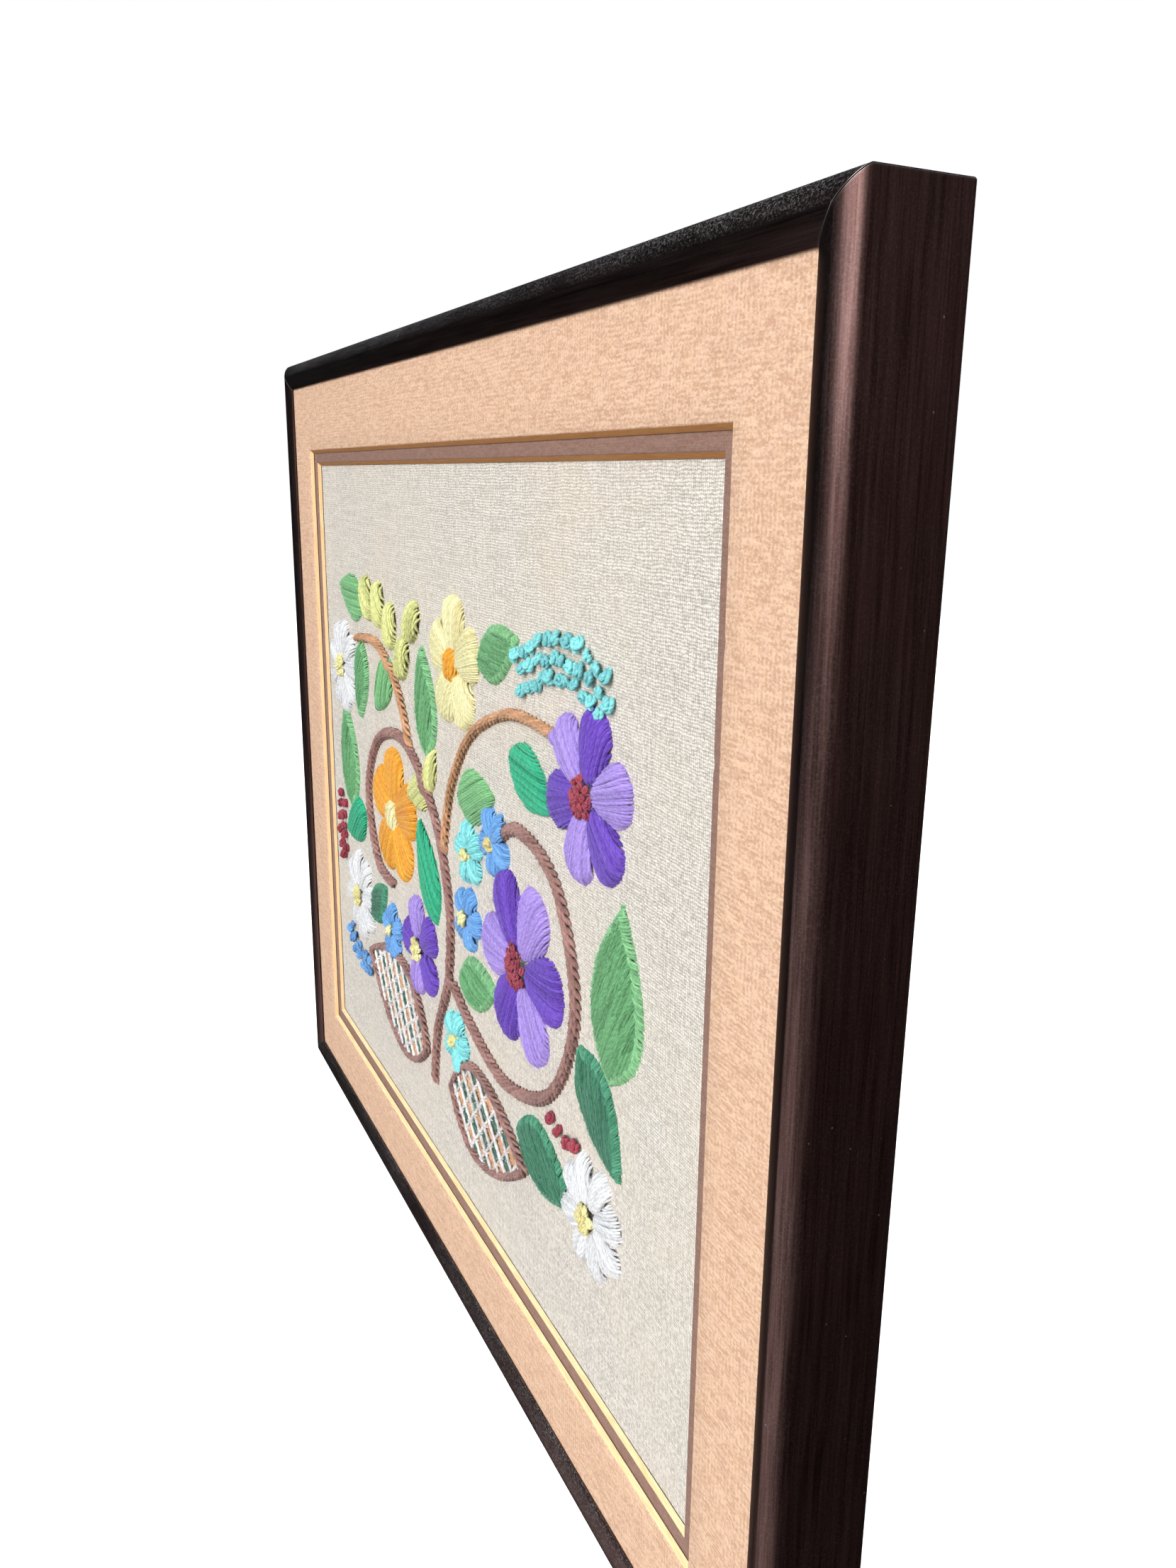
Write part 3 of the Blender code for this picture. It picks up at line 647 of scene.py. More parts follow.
def broken(ends):
    """A long stitch as a row of shorter ones, each starting just inside the one before."""
    start, end = ends
    length = np.linalg.norm(end - start)
    run = (end - start) / length
    found, reach = [], 0.0
    while reach < length - 2 * MM:
        size = worked.uniform(6.5, 10.5) * MM
        if length - reach - size < 3 * MM:
            size = length - reach
        found.append((start + run * max(0.0, reach - 0.8 * MM), start + run * (reach + size)))
        reach += size
    return found


relief = Relief()
padding = []
leaf_work = {}
leaf_pads = []
for middle, length, width, degrees, dye in LEAVES:
    pad = Pad(middle, length, width, degrees, leaf_girth, LEAF_HEIGHT)
    leaf_pads.append(pad)
    padding.append((pad, dye))
    work = leaf_work.setdefault(dye, [])
    if dye not in ("leaf_green", "dark_green"):
        for start, end in satin(pad, 0.66 * MM, slant=14):
            work.append(laid(start, end, pad.rise, STRAND_RADIUS, LEAF_HEIGHT))
        continue
    inner = Pad(middle, length - 3, width - 3, degrees, leaf_girth, LEAF_HEIGHT)
    for ends in satin(inner, 0.62 * MM, slant=-24):
        for start, end in broken(ends):
            work.append(laid(start, end, pad.rise, STRAND_RADIUS, LEAF_HEIGHT, lift=0.05 * MM, dips=(0.5, 0.5)))
    rim = leaf_work.setdefault({"leaf_green": "leaf_rim", "dark_green": "dark_rim"}[dye], [])
    edge = pad.outline(600)
    steps = np.linalg.norm(np.diff(edge, axis=0, append=edge[:1]), axis=1)
    count = round(steps.sum() / (0.80 * MM))
    marks = np.searchsorted(np.cumsum(steps), np.linspace(0, steps.sum(), count, endpoint=False))
    for mark in marks:
        run = edge[(mark + 4) % 600] - edge[mark - 4]
        run = run / max(np.linalg.norm(run), 1e-9) * (1 if mark < 300 else -1)
        inward = pad.middle + pad.along * np.dot(edge[mark] - pad.middle, pad.along) * 0.8 - edge[mark]
        inward = inward / max(np.linalg.norm(inward), 1e-9)
        rim.append(laid(edge[mark] - inward * 0.15 * MM, edge[mark] + (inward * 2.2 + run * 1.7) * MM, pad.rise,
                        STRAND_RADIUS, LEAF_HEIGHT, step=0.9 * MM, lift=0.14 * MM, dips=(1.0, 0.6)))
for pad in leaf_pads:
    relief.add(pad.middle, pad.half_length, pad.rise)
for dye, stitches in leaf_work.items():
    sewn("leaves_" + dye, stitches, dye)

# Two big leaves are filled flat in tan and dark green, with a lattice of pale pink wool laid over
# the filling and tied down where it crosses. A brown cord of stem stitch goes round each.
LATTICE_LEAVES = (((-62, -73), 68, 31, 170), ((26, -79), 60, 27, 3))
LATTICE_HEIGHT = 1.0 * MM
LATTICE_PITCH = 8.5 * MM
STEM_HEIGHT = 2.3 * MM
CORD_WIDTH = 3.2 * MM


def evenly(line, step, closed=False):
    """The same line of points with an even step between them."""
    if closed:
        line = np.vstack([line, line[:1]])
    reach = np.append(0, np.cumsum(np.linalg.norm(np.diff(line, axis=0), axis=1)))
    count = max(2, round(reach[-1] / step))
    even = np.linspace(0, reach[-1], count + 1)
    return np.c_[np.interp(even, reach, line[:, 0]), np.interp(even, reach, line[:, 1])]


def cord_rise(line, width, height):
    """How high a corded line stands at any points."""
    def rise(points):
        near = np.min(np.linalg.norm(points[:, None] - line[None], axis=2), axis=1)
        return height * np.sqrt(np.clip(1 - (near / (width / 2)) ** 2, 0, 1))
    return rise


def corded(line, width, height, radius, step=2.5 * MM, stitch=9.0 * MM, closed=False):
    """Stem stitch along a line: long stitches that each cross it at a slant, half over the one before."""
    fine = evenly(line, 0.5 * MM, closed)
    rise = cord_rise(evenly(line, 1.0 * MM, closed), width * 1.25, height)
    last = len(fine) - 1
    found = []
    for start in np.arange(-0.4 * stitch, last * 0.5 * MM - 0.3 * stitch, step):
        begin = start / (0.5 * MM)
        marks = np.linspace(begin, begin + stitch / (0.5 * MM), max(8, round(stitch / (0.62 * MM))))
        marks = marks % last if closed else marks[(marks >= 0) & (marks <= last)]
        if len(marks) < 5:
            continue
        base = np.floor(marks).astype(int) % (last + 1)
        after = np.minimum(base + 1, last)
        part = (marks - np.floor(marks))[:, None]
        places = fine[base] * (1 - part) + fine[after] * part
        run = fine[np.minimum(base + 2, last)] - fine[np.maximum(base - 2, 0)]
        run = run / np.maximum(np.linalg.norm(run, axis=1), 1e-9)[:, None]
        share = np.linspace(0, 1, len(marks))
        offset = (share - 0.5) * 0.72 * width + worked.normal(0, 0.06 * MM)
        places = places + np.c_[-run[:, 1], run[:, 0]] * offset[:, None]
        below = relief.at(places)
        arch = np.sin(math.pi * share) ** 0.6
        own = (0.25 + 0.75 * arch) * (rise(places) * 0.45 + height * 0.55) - radius
        high = np.maximum(own, np.where(below > 0.3 * MM, below + 0.2 * MM - 0.4 * radius * (1 - arch), 0))
        found.append((places, high + worked.normal(0, 0.05 * MM), radius * worked.uniform(0.93, 1.07)))
    return found, rise


edge_work, lattice_work, tie_work = [], [], []
fill_work = {"fill_tan": [], "fill_green": []}
lattice_shapes = []
for middle, length, width, degrees in LATTICE_LEAVES:
    pad = Pad(middle, length, width, degrees, leaf_girth, LATTICE_HEIGHT)
    padding.append((pad, "fill_tan"))
    for start, end in satin(pad, 0.70 * MM):
        s0, side = pad.split(start[None])
        s1, _ = pad.split(end[None])
        low, high, side = s0[0] * pad.half_length, s1[0] * pad.half_length, side[0]
        cuts = [low, high]
        for k in range(-9, 10):
            cuts += [c for c in (k * LATTICE_PITCH - side, k * LATTICE_PITCH + side) if low < c < high]
        cuts = sorted(cuts)
        for a, b in zip(cuts, cuts[1:]):
            if b - a < 0.8 * MM:
                continue
            centre = (a + b) / 2
            cell = math.floor((centre + side) / LATTICE_PITCH) + math.floor((centre - side) / LATTICE_PITCH)
            dye = "fill_green" if cell % 2 else "fill_tan"
            ends = [pad.middle + pad.along * reach + pad.across * side for reach in (a - 0.2 * MM, b + 0.2 * MM)]
            fill_work[dye].append(laid(*ends, pad.rise, STRAND_RADIUS, LATTICE_HEIGHT, dips=(0.7, 0.7)))
    for slant in (45, -45):
        turn = math.radians(slant)
        along = pad.along * math.cos(turn) + pad.across * math.sin(turn)
        across = pad.across * math.cos(turn) - pad.along * math.sin(turn)
        for k in range(-9, 10):
            foot = pad.middle + across * (k * LATTICE_PITCH / math.sqrt(2))
            found = chord(pad, foot - along * 50 * MM, foot + along * 50 * MM)
            if found is not None:
                over_fill = 0.62 * MM if slant > 0 else 0.85 * MM
                lattice_work.append(laid(*found, pad.rise, 0.62 * MM, LATTICE_HEIGHT, 0.75 * MM, lift=over_fill))
    for column in range(-16, 17):
        for row in range(-8, 9):
            spot = pad.middle + (pad.along * column + pad.across * row) * LATTICE_PITCH / 2
            if (column + row) % 2 == 0 and pad.room(spot[None])[0] > 1.5 * MM:
                half = pad.along * 1.2 * MM
                tie_work.append(laid(spot - half, spot + half, pad.rise, 0.42 * MM, LATTICE_HEIGHT, 0.6 * MM,
                                     lift=1.15 * MM, dips=(2.4, 2.4)))
    stitches, rise = corded(pad.outline(240), CORD_WIDTH, STEM_HEIGHT, 0.56 * MM, closed=True)
    edge_work += stitches
    lattice_shapes.append((pad, rise))
for pad, rise in lattice_shapes:
    relief.add(pad.middle, pad.half_length, pad.rise)
    relief.add(pad.middle, pad.half_length + CORD_WIDTH, rise)
for dye, stitches in fill_work.items():
    sewn("lattice_leaf_" + dye, stitches, dye)
sewn("lattice_leaf_lattice", lattice_work + tie_work, "lattice_pink", plied=True)
sewn("lattice_leaf_cord", edge_work, "brown", plied=True)

# The stems are thick cords of stem stitch in brown and tan wool. Where a stem crosses a leaf it lies on it.
STEMS = (
    ("brown", 4.2, ((-22, -88), (-17, -66), (-5, -42), (-4, -16), (-18, 9), (-46, 25), (-77, 20),
                    (-92, -3), (-82, -27), (-62, -31))),
    ("brown", 4.2, ((-5, -42), (14, -51), (43, -57), (73, -45), (88, -16), (77, 13), (52, 21), (35, 13))),
    ("tan", 3.4, ((-8, -2), (0, 20), (18, 40), (47, 51), (76, 51))),
    ("tan", 3.4, ((-40, 24), (-52, 42), (-75, 54), (-104, 53))),
)


def smooth_line(points, steps=10):
    """A Catmull-Rom line through points given in millimetres."""
    given_points = np.array(points, float) * MM
    ends = np.vstack([given_points[:1], given_points, given_points[-1:]])
    line = []
    for before, start, end, after in zip(ends, ends[1:], ends[2:], ends[3:]):
        for step in range(steps):
            t = step / steps
            line.append(0.5 * (2 * start + (end - before) * t
                               + (2 * before - 5 * start + 4 * end - after) * t ** 2
                               + (3 * start - 3 * end + after - before) * t ** 3))
    return np.array(line + [given_points[-1]])


stem_work, stem_shapes = {}, []
for dye, width, points in STEMS:
    line = smooth_line(points)
    stitches, rise = corded(line, width * MM, STEM_HEIGHT, 0.165 * width * MM)
    stem_work.setdefault(dye, []).extend(stitches)
    stem_shapes.append((line, rise))
for line, rise in stem_shapes:
    for part in np.array_split(line, 6):
        middle = part.mean(axis=0)
        relief.add(middle, np.linalg.norm(part - middle, axis=1).max() + 8 * MM, rise)
for dye, stitches in stem_work.items():
    sewn("stems_" + dye, stitches, dye, plied=True)

# The buds are high ovals of thick lime wool, their strands slanting across soft padding.
BUDS = (((-35, 66), 45), ((-46, 53), 60), ((-59, 62), 80), ((-72, 68), 95), ((-86, 69), 110))
BUD_HEIGHT = 3.2 * MM


def bud_girth(s):
    return np.sqrt(np.clip(1 - s * s, 0, 1))


bud_work, bud_pads = [], []
for middle, degrees in BUDS:
    pad = Pad(middle, 16, 11, degrees, bud_girth, BUD_HEIGHT)
    bud_pads.append(pad)
    padding.append((pad, "lime"))
    for start, end in satin(pad, 0.86 * MM, slant=22):
        bud_work.append(laid(start, end, pad.rise, 0.54 * MM, BUD_HEIGHT, 0.62 * MM))
for pad in bud_pads:
    relief.add(pad.middle, pad.half_length, pad.rise)
sewn("buds_lime", bud_work, "lime", plied=True)

# The flowers' petals are satin stitch that fans out from the middle to the rim.
# Each row has the middle, radius, petals, petal width, turn, the centre's radius and the dyes.
FLOWERS = (
    ((-60, -4), 24, 5, 23, 18, 5.6, ("orange", "orange"), "yellow"),
    ((53, -17), 27, 6, 21, 0, 6.6, ("purple", "lilac"), "burgundy"),
    ((-121, 40), 18, 9, 10, 0, 4.8, ("white", "white"), "pale_yellow"),
    ((93, 40), 22, 6, 17, 15, 5.4, ("lilac", "purple"), "burgundy"),
    ((4, 58), 20, 5, 19, 90, 5.2, ("yellow", "yellow"), "orange"),
    ((-108, -49), 18, 8, 11, 10, 4.8, ("white", "white"), "pale_yellow"),
    ((98, -66), 16, 8, 10, 20, 4.4, ("white", "white"), "pale_yellow"),
    ((-34, -44), 18, 5, 16, 36, 4.8, ("purple", "lilac"), "pale_yellow"),
    ((13, -17), 10, 5, 9.5, 0, 2.6, ("blue", "blue"), "pale_yellow"),
    ((15, 4), 10, 5, 9.5, 30, 2.6, ("turquoise", "turquoise"), "pale_yellow"),
    ((35, 13), 10, 5, 9.5, 50, 2.6, ("blue", "blue"), "pale_yellow"),
    ((-66, -49), 10, 5, 9.5, 20, 2.6, ("blue", "blue"), "pale_yellow"),
    ((1, -62), 10, 5, 9.5, 0, 2.6, ("turquoise", "turquoise"), "pale_yellow"),
)
PETAL_HEIGHT = 2.7 * MM


def petal_girth(s):
    return np.sqrt(np.clip(1 - s * s, 0, 1)) * (0.8 + 0.3 * s)


petal_work, petal_pads = {}, []
for middle, radius, petals, petal_width, turn, centre_radius, dyes, centre_dye in FLOWERS:
    reach = 0.5 * (radius + 0.6 * centre_radius)
    length = radius - 0.6 * centre_radius
    for i in range(petals):
        degrees = turn + 360 * i / petals
        angle = math.radians(degrees)
        place = (middle[0] + reach * math.cos(angle), middle[1] + reach * math.sin(angle))
        pad = Pad(place, length, petal_width, degrees, petal_girth, PETAL_HEIGHT)
        petal_pads.append(pad)
        dye = dyes[i % 2]
        padding.append((pad, dye))
        for start, end in satin(pad, 0.80 * MM, fan=0.6):
            petal_work.setdefault(dye, []).append(
                laid(start, end, pad.rise, 0.48 * MM, PETAL_HEIGHT, step=1.4 * MM, dips=(0.6, 1.0)))
for pad in petal_pads:
    relief.add(pad.middle, pad.half_length, pad.rise)
for dye, stitches in petal_work.items():
    sewn("petals_" + dye, stitches, dye)

# Each flower's centre is worked over its petals: a round of satin stitch in yellow or orange,
# a cluster of tight burgundy knots, or pale yellow knots, one in a small flower and seven in a daisy.
knot_tree, given, result = new_tree("wool_knots", YARN_INPUTS + (
    ("Wraps", "Float"), ("Unevenness", "Float")))
coil = add(knot_tree, "GeometryNodeCurveSpiral", {
    "Resolution": 14, "Rotations": given["Wraps"], "Start Radius": 0.78, "End Radius": 0.30, "Height": 0.78}).outputs[0]
factor = add(knot_tree, "GeometryNodeSplineParameter").outputs["Factor"]
closing = stretch(knot_tree, factor, 0.84, 1.0)
where = add(knot_tree, "GeometryNodeInputPosition").outputs[0]
parts = add(knot_tree, "ShaderNodeSeparateXYZ", {0: where})
inward = calc(knot_tree, "MULTIPLY", closing, -0.9)
tuck = add(knot_tree, "ShaderNodeCombineXYZ", {
    0: calc(knot_tree, "MULTIPLY", parts.outputs[0], inward),
    1: calc(knot_tree, "MULTIPLY", parts.outputs[1], inward),
    2: calc(knot_tree, "MULTIPLY_ADD", closing, -0.45, 0.30)})
coil = add(knot_tree, "GeometryNodeSetPosition", {"Geometry": coil, "Offset": tuck.outputs[0]}).outputs[0]
body = spun(knot_tree, given, coil, 0.275)
start_points = add(knot_tree, "GeometryNodeMeshToPoints", {"Mesh": given["Geometry"]}).outputs[0]
tilt = add(knot_tree, "FunctionNodeRandomValue", {
    0: (-0.5, -0.5, 0.0), 1: (0.5, 0.5, 6.2832), "Seed": given["Seed"]}, data_type="FLOAT_VECTOR")
tilt = add(knot_tree, "FunctionNodeEulerToRotation", {0: tilt.outputs[0]}).outputs[0]
facing = add(knot_tree, "FunctionNodeRotateRotation", {
    "Rotation": tilt, "Rotate By": (math.pi / 2, 0, 0)}, rotation_space="GLOBAL").outputs[0]
size = add(knot_tree, "GeometryNodeInputNamedAttribute", {"Name": "size"}).outputs[0]
knots = add(knot_tree, "GeometryNodeInstanceOnPoints", {
    "Points": start_points, "Instance": body, "Rotation": facing, "Scale": size}).outputs[0]
knots = add(knot_tree, "GeometryNodeRealizeInstances", {"Geometry": knots}).outputs[0]
rough = add(knot_tree, "ShaderNodeTexNoise", {"Vector": add(knot_tree, "GeometryNodeInputPosition").outputs[0],
                                              "Scale": 420.0, "Detail": 1.0}).outputs["Color"]
rough = add(knot_tree, "ShaderNodeVectorMath", {0: rough, 1: (0.5, 0.5, 0.5)}, operation="SUBTRACT").outputs[0]
rough = add(knot_tree, "ShaderNodeVectorMath", {0: rough, "Scale": given["Unevenness"]}, operation="SCALE").outputs[0]
knots = add(knot_tree, "GeometryNodeSetPosition", {"Geometry": knots, "Offset": rough}).outputs[0]
clothed(knot_tree, given, knots, result)


def knotted(name, places, dye, wraps=2.1, fuzz=0.40):
    """One piece of knots of one dye. Each place is a point on the cloth, the knot's radius and its foot's height."""
    mesh = bpy.data.meshes.new(name)
    corners = [(x, CLOTH_FACE - foot, WINDOW_MIDDLE + z) for (x, z), radius, foot in places]
    mesh.from_pydata(corners, [], [])
    sizes = [radius * worked.uniform(0.92, 1.12) for _, radius, _ in places]
    for label, values in (("size", sizes), ("shade", worked.uniform(0, 1, len(places)))):
        mesh.attributes.new(label, "FLOAT", "POINT").data.foreach_set("value", np.array(values, np.float32))
    piece = bpy.data.objects.new(name, mesh)
    bpy.context.scene.collection.objects.link(piece)
    modifier = piece.modifiers.new("knots", "NODES")
    modifier.node_group = knot_tree
    set_inputs(modifier, {
        "Sides": 8, "Ply Depth": 0.14, "Twist": 4.2, "Fibre Density": fuzz / MM ** 2, "Fibre Length": 1.1 * MM,
        "Fibre Thickness": 0.03 * MM, "Seed": len(wool_pieces), "Wool": wool(dye), "Wraps": wraps,
        "Unevenness": 0.16 * MM})
    settled(piece, 190, unit=sum(sizes) / len(sizes))
    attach(piece, "root")
    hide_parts("ground_cloth")
    wool_pieces.append(piece)
    return piece


CENTRE_HEIGHT = 3.4 * MM
centre_work, centre_knots = {}, {}
for middle, radius, petals, petal_width, turn, centre_radius, dyes, centre_dye in FLOWERS:
    middle = np.array(middle) * MM
    size = centre_radius * MM
    if centre_dye in ("yellow", "orange"):
        pad = Pad(middle / MM, 2 * centre_radius, 2 * centre_radius, 70, bud_girth, CENTRE_HEIGHT)
        padding.append((pad, centre_dye))
        for start, end in satin(pad, 0.72 * MM):
            centre_work.setdefault(centre_dye, []).append(
                laid(start, end, pad.rise, 0.47 * MM, CENTRE_HEIGHT, 0.8 * MM, lift=0.1 * MM))
        continue
    if centre_radius < 3:
        spots = [(middle, size, 0.9 * MM)]
    elif centre_dye == "burgundy":
        count = round(4.2 * centre_radius)
        spots = [(middle + 0.90 * size * math.sqrt((i + 0.4) / count)
                  * np.array((math.cos(2.39996 * i), math.sin(2.39996 * i))), 1.3 * MM,
                  1.5 * MM + 1.1 * MM * (1 - i / count)) for i in range(count)]
    else:
        spots = [(middle, 2.0 * MM, 2.0 * MM)]
        for i in range(6):
            angle = i * math.pi / 3 + 0.3
            spots.append((middle + (size - 1.8 * MM) * np.array((math.cos(angle), math.sin(angle))), 1.85 * MM, 1.6 * MM))
    centre_knots.setdefault(centre_dye, []).extend(spots)
for dye, stitches in centre_work.items():
    sewn("centres_" + dye, stitches, dye)
for dye, spots in centre_knots.items():
    knotted("centres_" + dye, spots, dye, wraps=1.7 if dye == "burgundy" else 2.3)

# Sprays of knots stand beside each other in rows, each one two wraps of wool pulled tight.
KNOT_RADIUS = 2.3 * MM
SPRAYS = (
    ("turquoise", 3, 5.0, ((54, 63), (72, 69), (90, 69), (104, 64))),
    ("blue", 2, 5.0, ((-126, -68), (-112, -76), (-97, -75))),
    ("burgundy", 2, 5.0, ((-131, -14), (-134, -28), (-131, -39))),
    ("burgundy", 1, 5.2, ((74, -52), (84, -53), (92, -50))),
)
spray_knots = {}
for dye, rows, spacing, points in SPRAYS:
    line = evenly(smooth_line(points), spacing * MM / 2)
    for row in range(rows):
        for i in range(row % 2, len(line), 2):
            run = line[min(i + 1, len(line) - 1)] - line[max(i - 1, 0)]
            side = np.array((-run[1], run[0])) / np.linalg.norm(run)
            place = line[i] + side * (row - (rows - 1) / 2) * spacing * MM * 0.9
            place = place + worked.normal(0, 0.30 * MM, 2)
            spray_knots.setdefault(dye, []).append((place, 0.90 * KNOT_RADIUS, 0.15 * MM))
for dye, spots in spray_knots.items():
    knotted("knots_" + dye, spots, dye)

# Under the stitches lies the padding: short running stitches of the same wools, seen only between strands. Its dyes are
# darkened as painted shade.
corners, faces, dyes_of_corners = [], [], []
for pad, dye in padding:
    first = len(corners)
    levels, sides = np.linspace(-0.88, 0.88, 11), np.linspace(-0.84, 0.84, 9)
    for s in levels:
        side = sides * pad.half_width * pad.girth(s)
        places = pad.middle + pad.along * s * pad.half_length + np.outer(side, pad.across)
        high = pad.rise(places) * (pad.height - 0.75 * MM) / pad.height - 0.05 * MM
        corners += [(x, CLOTH_FACE - h, WINDOW_MIDDLE + z) for (x, z), h in zip(places, high)]
        dyes_of_corners += [linear(DYES[dye])] * len(sides)
    for i in range(len(levels) - 1):
        for j in range(len(sides) - 1):
            a = first + i * len(sides) + j
            faces.append((a, a + 1, a + 1 + len(sides), a + len(sides)))
under, tree, shader = finish("padding_wool", linear("8A8070"), 0.95)
dyed = add(tree, "ShaderNodeAttribute", attribute_name="dyed").outputs["Color"]
# Painted shade: the dye is multiplied darker in patches, standing in for the shade under the strands.
painted_shade_under_strands = blended(tree, noise(tree, object_place(tree), 1500, 2), (0.35, 0.35, 0.35), (0.75, 0.75, 0.75))
tree.links.new(blended(tree, 1.0, dyed, painted_shade_under_strands, "MULTIPLY"), shader.inputs["Base Color"])
wool_padding = new_piece("wool_padding", corners, faces, under)
colours = wool_padding.data.color_attributes.new("dyed", "FLOAT_COLOR", "POINT")
colours.data.foreach_set("color", np.c_[np.array(dyes_of_corners), np.ones(len(corners))].ravel())
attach(wool_padding, "root")
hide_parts("ground_cloth")

# The two mats are four-ply board, each with a window cut at 45 degrees so that its pale core shows.
# The outer one is faced with peach laid paper and the inner with smooth mauve-brown paper.
MAT_THICK = 1.3 * MM
MAT_FACE = -8.7 * MM
INNER_MAT_FACE = -7.1 * MM
REVEAL = 3.3 * MM
PAPER = 0.22 * MM


def mat_board(name, width, height, face, nicks, paper, core):
    """A board with a bevelled window. Each nick is a side, its place along it in metres, size and depth."""
    half = Vector((width / 2, height / 2))
    sheet_half = Vector((SHEET_WIDTH / 2, SHEET_HEIGHT / 2))
    signs = ((-1, -1), (1, -1), (1, 1), (-1, 1))
    marks = []
    for side in range(4):
        start, end = (Vector((s[0] * half.x, s[1] * half.y)) for s in (signs[side], signs[(side + 1) % 4]))
        outer = [Vector((s[0] * sheet_half.x, SHEET_MIDDLE - WINDOW_MIDDLE + s[1] * sheet_half.y))
                 for s in (signs[side], signs[(side + 1) % 4])]
        run = (end - start).normalized()
        inward = Vector((-run.y, run.x))
        count = round((end - start).length / (1.6 * MM))
        for i in range(count):
            share = i / count
            spot = start.lerp(end, share)
            torn = 0.02 * MM * math.sin(i * 2.1 + side) + 0.015 * MM * math.sin(i * 0.63)
            for nick_side, where, size, depth in nicks:
                if nick_side == side:
                    torn += depth * max(0.0, 1 - abs((spot - (start + end) / 2).dot(run) - where) / size)
            corner = i == 0
            aside = Vector((-signs[side][0], -signs[side][1])) if corner else inward
            marks.append((spot, outer[0].lerp(outer[1], share), aside, 0.0 if corner else torn))
    section = ((-0.10 * MM, 0.0), (-0.02 * MM, 0.03 * MM), (PAPER, PAPER), (MAT_THICK * 0.6, MAT_THICK * 0.6),
               (MAT_THICK, MAT_THICK))
    corners, faces, kinds = [], [], []
    for spot, outer, aside, torn in marks:
        near = spot - aside * 6 * MM
        ring = [(outer, 0.0), (near, 0.0)]
        for k, (inset, depth) in enumerate(section):
            pulled = torn * (1.0, 1.0, 0.75, 0.2, 0.0)[k]
            ring.append((spot + aside * (inset - pulled), depth))
        ring.append((outer, MAT_THICK))
        corners += [(place.x, face + depth, WINDOW_MIDDLE + place.y) for place, depth in ring]
    size = len(section) + 3
    for i in range(len(marks)):
        after = (i + 1) % len(marks)
        for k in range(size):
            follow = (k + 1) % size
            faces.append((i * size + k, after * size + k, after * size + follow, i * size + follow))
            kinds.append(1 if k in (4, 5) else 0)
    board = new_piece(name, corners, faces, paper, core)
    board.data.polygons.foreach_set("material_index", kinds)
    board.data.set_sharp_from_angle(angle=math.radians(24))
    return board


def paper_finish(name, low, high, warm, cool, roughness, rib, depth):
    """Mat paper: pebbled, faintly mottled, and embossed with soft crossed ribs so many to the metre."""
    made, tree, shader = finish(name, linear(high), roughness)
    shader.inputs["Specular IOR Level"].default_value = 0.2
    place = add(tree, "ShaderNodeSeparateXYZ", {0: object_place(tree)})
    drift = calc(tree, "MULTIPLY", noise(tree, object_place(tree), rib * 0.07, 2, 0.5), 9.0)
    level_share = stretch(tree, noise(tree, object_place(tree), rib * 0.09, 2, 0.6), 0.38, 0.62)
    upright_share = calc(tree, "SUBTRACT", 1.0, level_share)
    level_wave = calc(tree, "SINE", calc(tree, "MULTIPLY_ADD", place.outputs[2], 2.5 * math.pi * rib, drift))
    upright_wave = calc(tree, "SINE", calc(tree, "MULTIPLY_ADD", place.outputs[0], 2 * math.pi * rib, drift))
    level_ribs = noise(tree, object_place(tree, (0.22, 1.0, 1.0)), rib, 1, 0.5)
    pebbles = noise(tree, object_place(tree, (0.66, 1.0, 1.0)), rib * 2.6, 2, 0.55)
    texture = calc(tree, "ADD", calc(tree, "MULTIPLY", level_ribs, 0.35), calc(tree, "MULTIPLY", pebbles, 0.65))
    for wave, share in ((level_wave, level_share), (upright_wave, upright_share)):
        texture = calc(tree, "ADD", texture, calc(tree, "MULTIPLY", wave, calc(tree, "MULTIPLY", share, 0.04)))
    coloured = blended(tree, stretch(tree, texture, 0.40, 0.60), linear(low), linear(high))
    cast = noise(tree, object_place(tree), rib * 0.5, 3, 0.6)
    coloured = blended(tree, stretch(tree, cast, 0.52, 0.68, 0.0, 0.22), coloured, linear(warm))
    coloured = blended(tree, stretch(tree, cast, 0.34, 0.48, 0.22, 0.0), coloured, linear(cool))
    tree.links.new(coloured, shader.inputs["Base Color"])
    bump(tree, shader, texture, depth, 0.9)
    return made


def core_finish(name, low, high):
    """The cut edge of the board's core: pressed layers, with painted shade that makes the edges facing down browner."""
    made, tree, shader = finish(name, linear(high), 0.9)
    layers = noise(tree, object_place(tree, (1.0, 14.0, 1.0)), 160, 4, 0.7)
    pressed = blended(tree, stretch(tree, layers, 0.3, 0.7), linear(low), linear(high))
    upward = add(tree, "ShaderNodeSeparateXYZ", {0: add(tree, "ShaderNodeNewGeometry").outputs["Normal"]}).outputs[2]
    # Painted shade: where the cut edge faces down, its colour is multiplied to a darker brown.
    painted_shade_facing_down = blended(tree, stretch(tree, upward, -0.6, 0.3), (0.50, 0.29, 0.14), (1.0, 1.0, 1.0))
    tree.links.new(blended(tree, 1.0, pressed, painted_shade_facing_down, "MULTIPLY"), shader.inputs["Base Color"])
    bump(tree, shader, layers, 0.05 * MM)
    return made


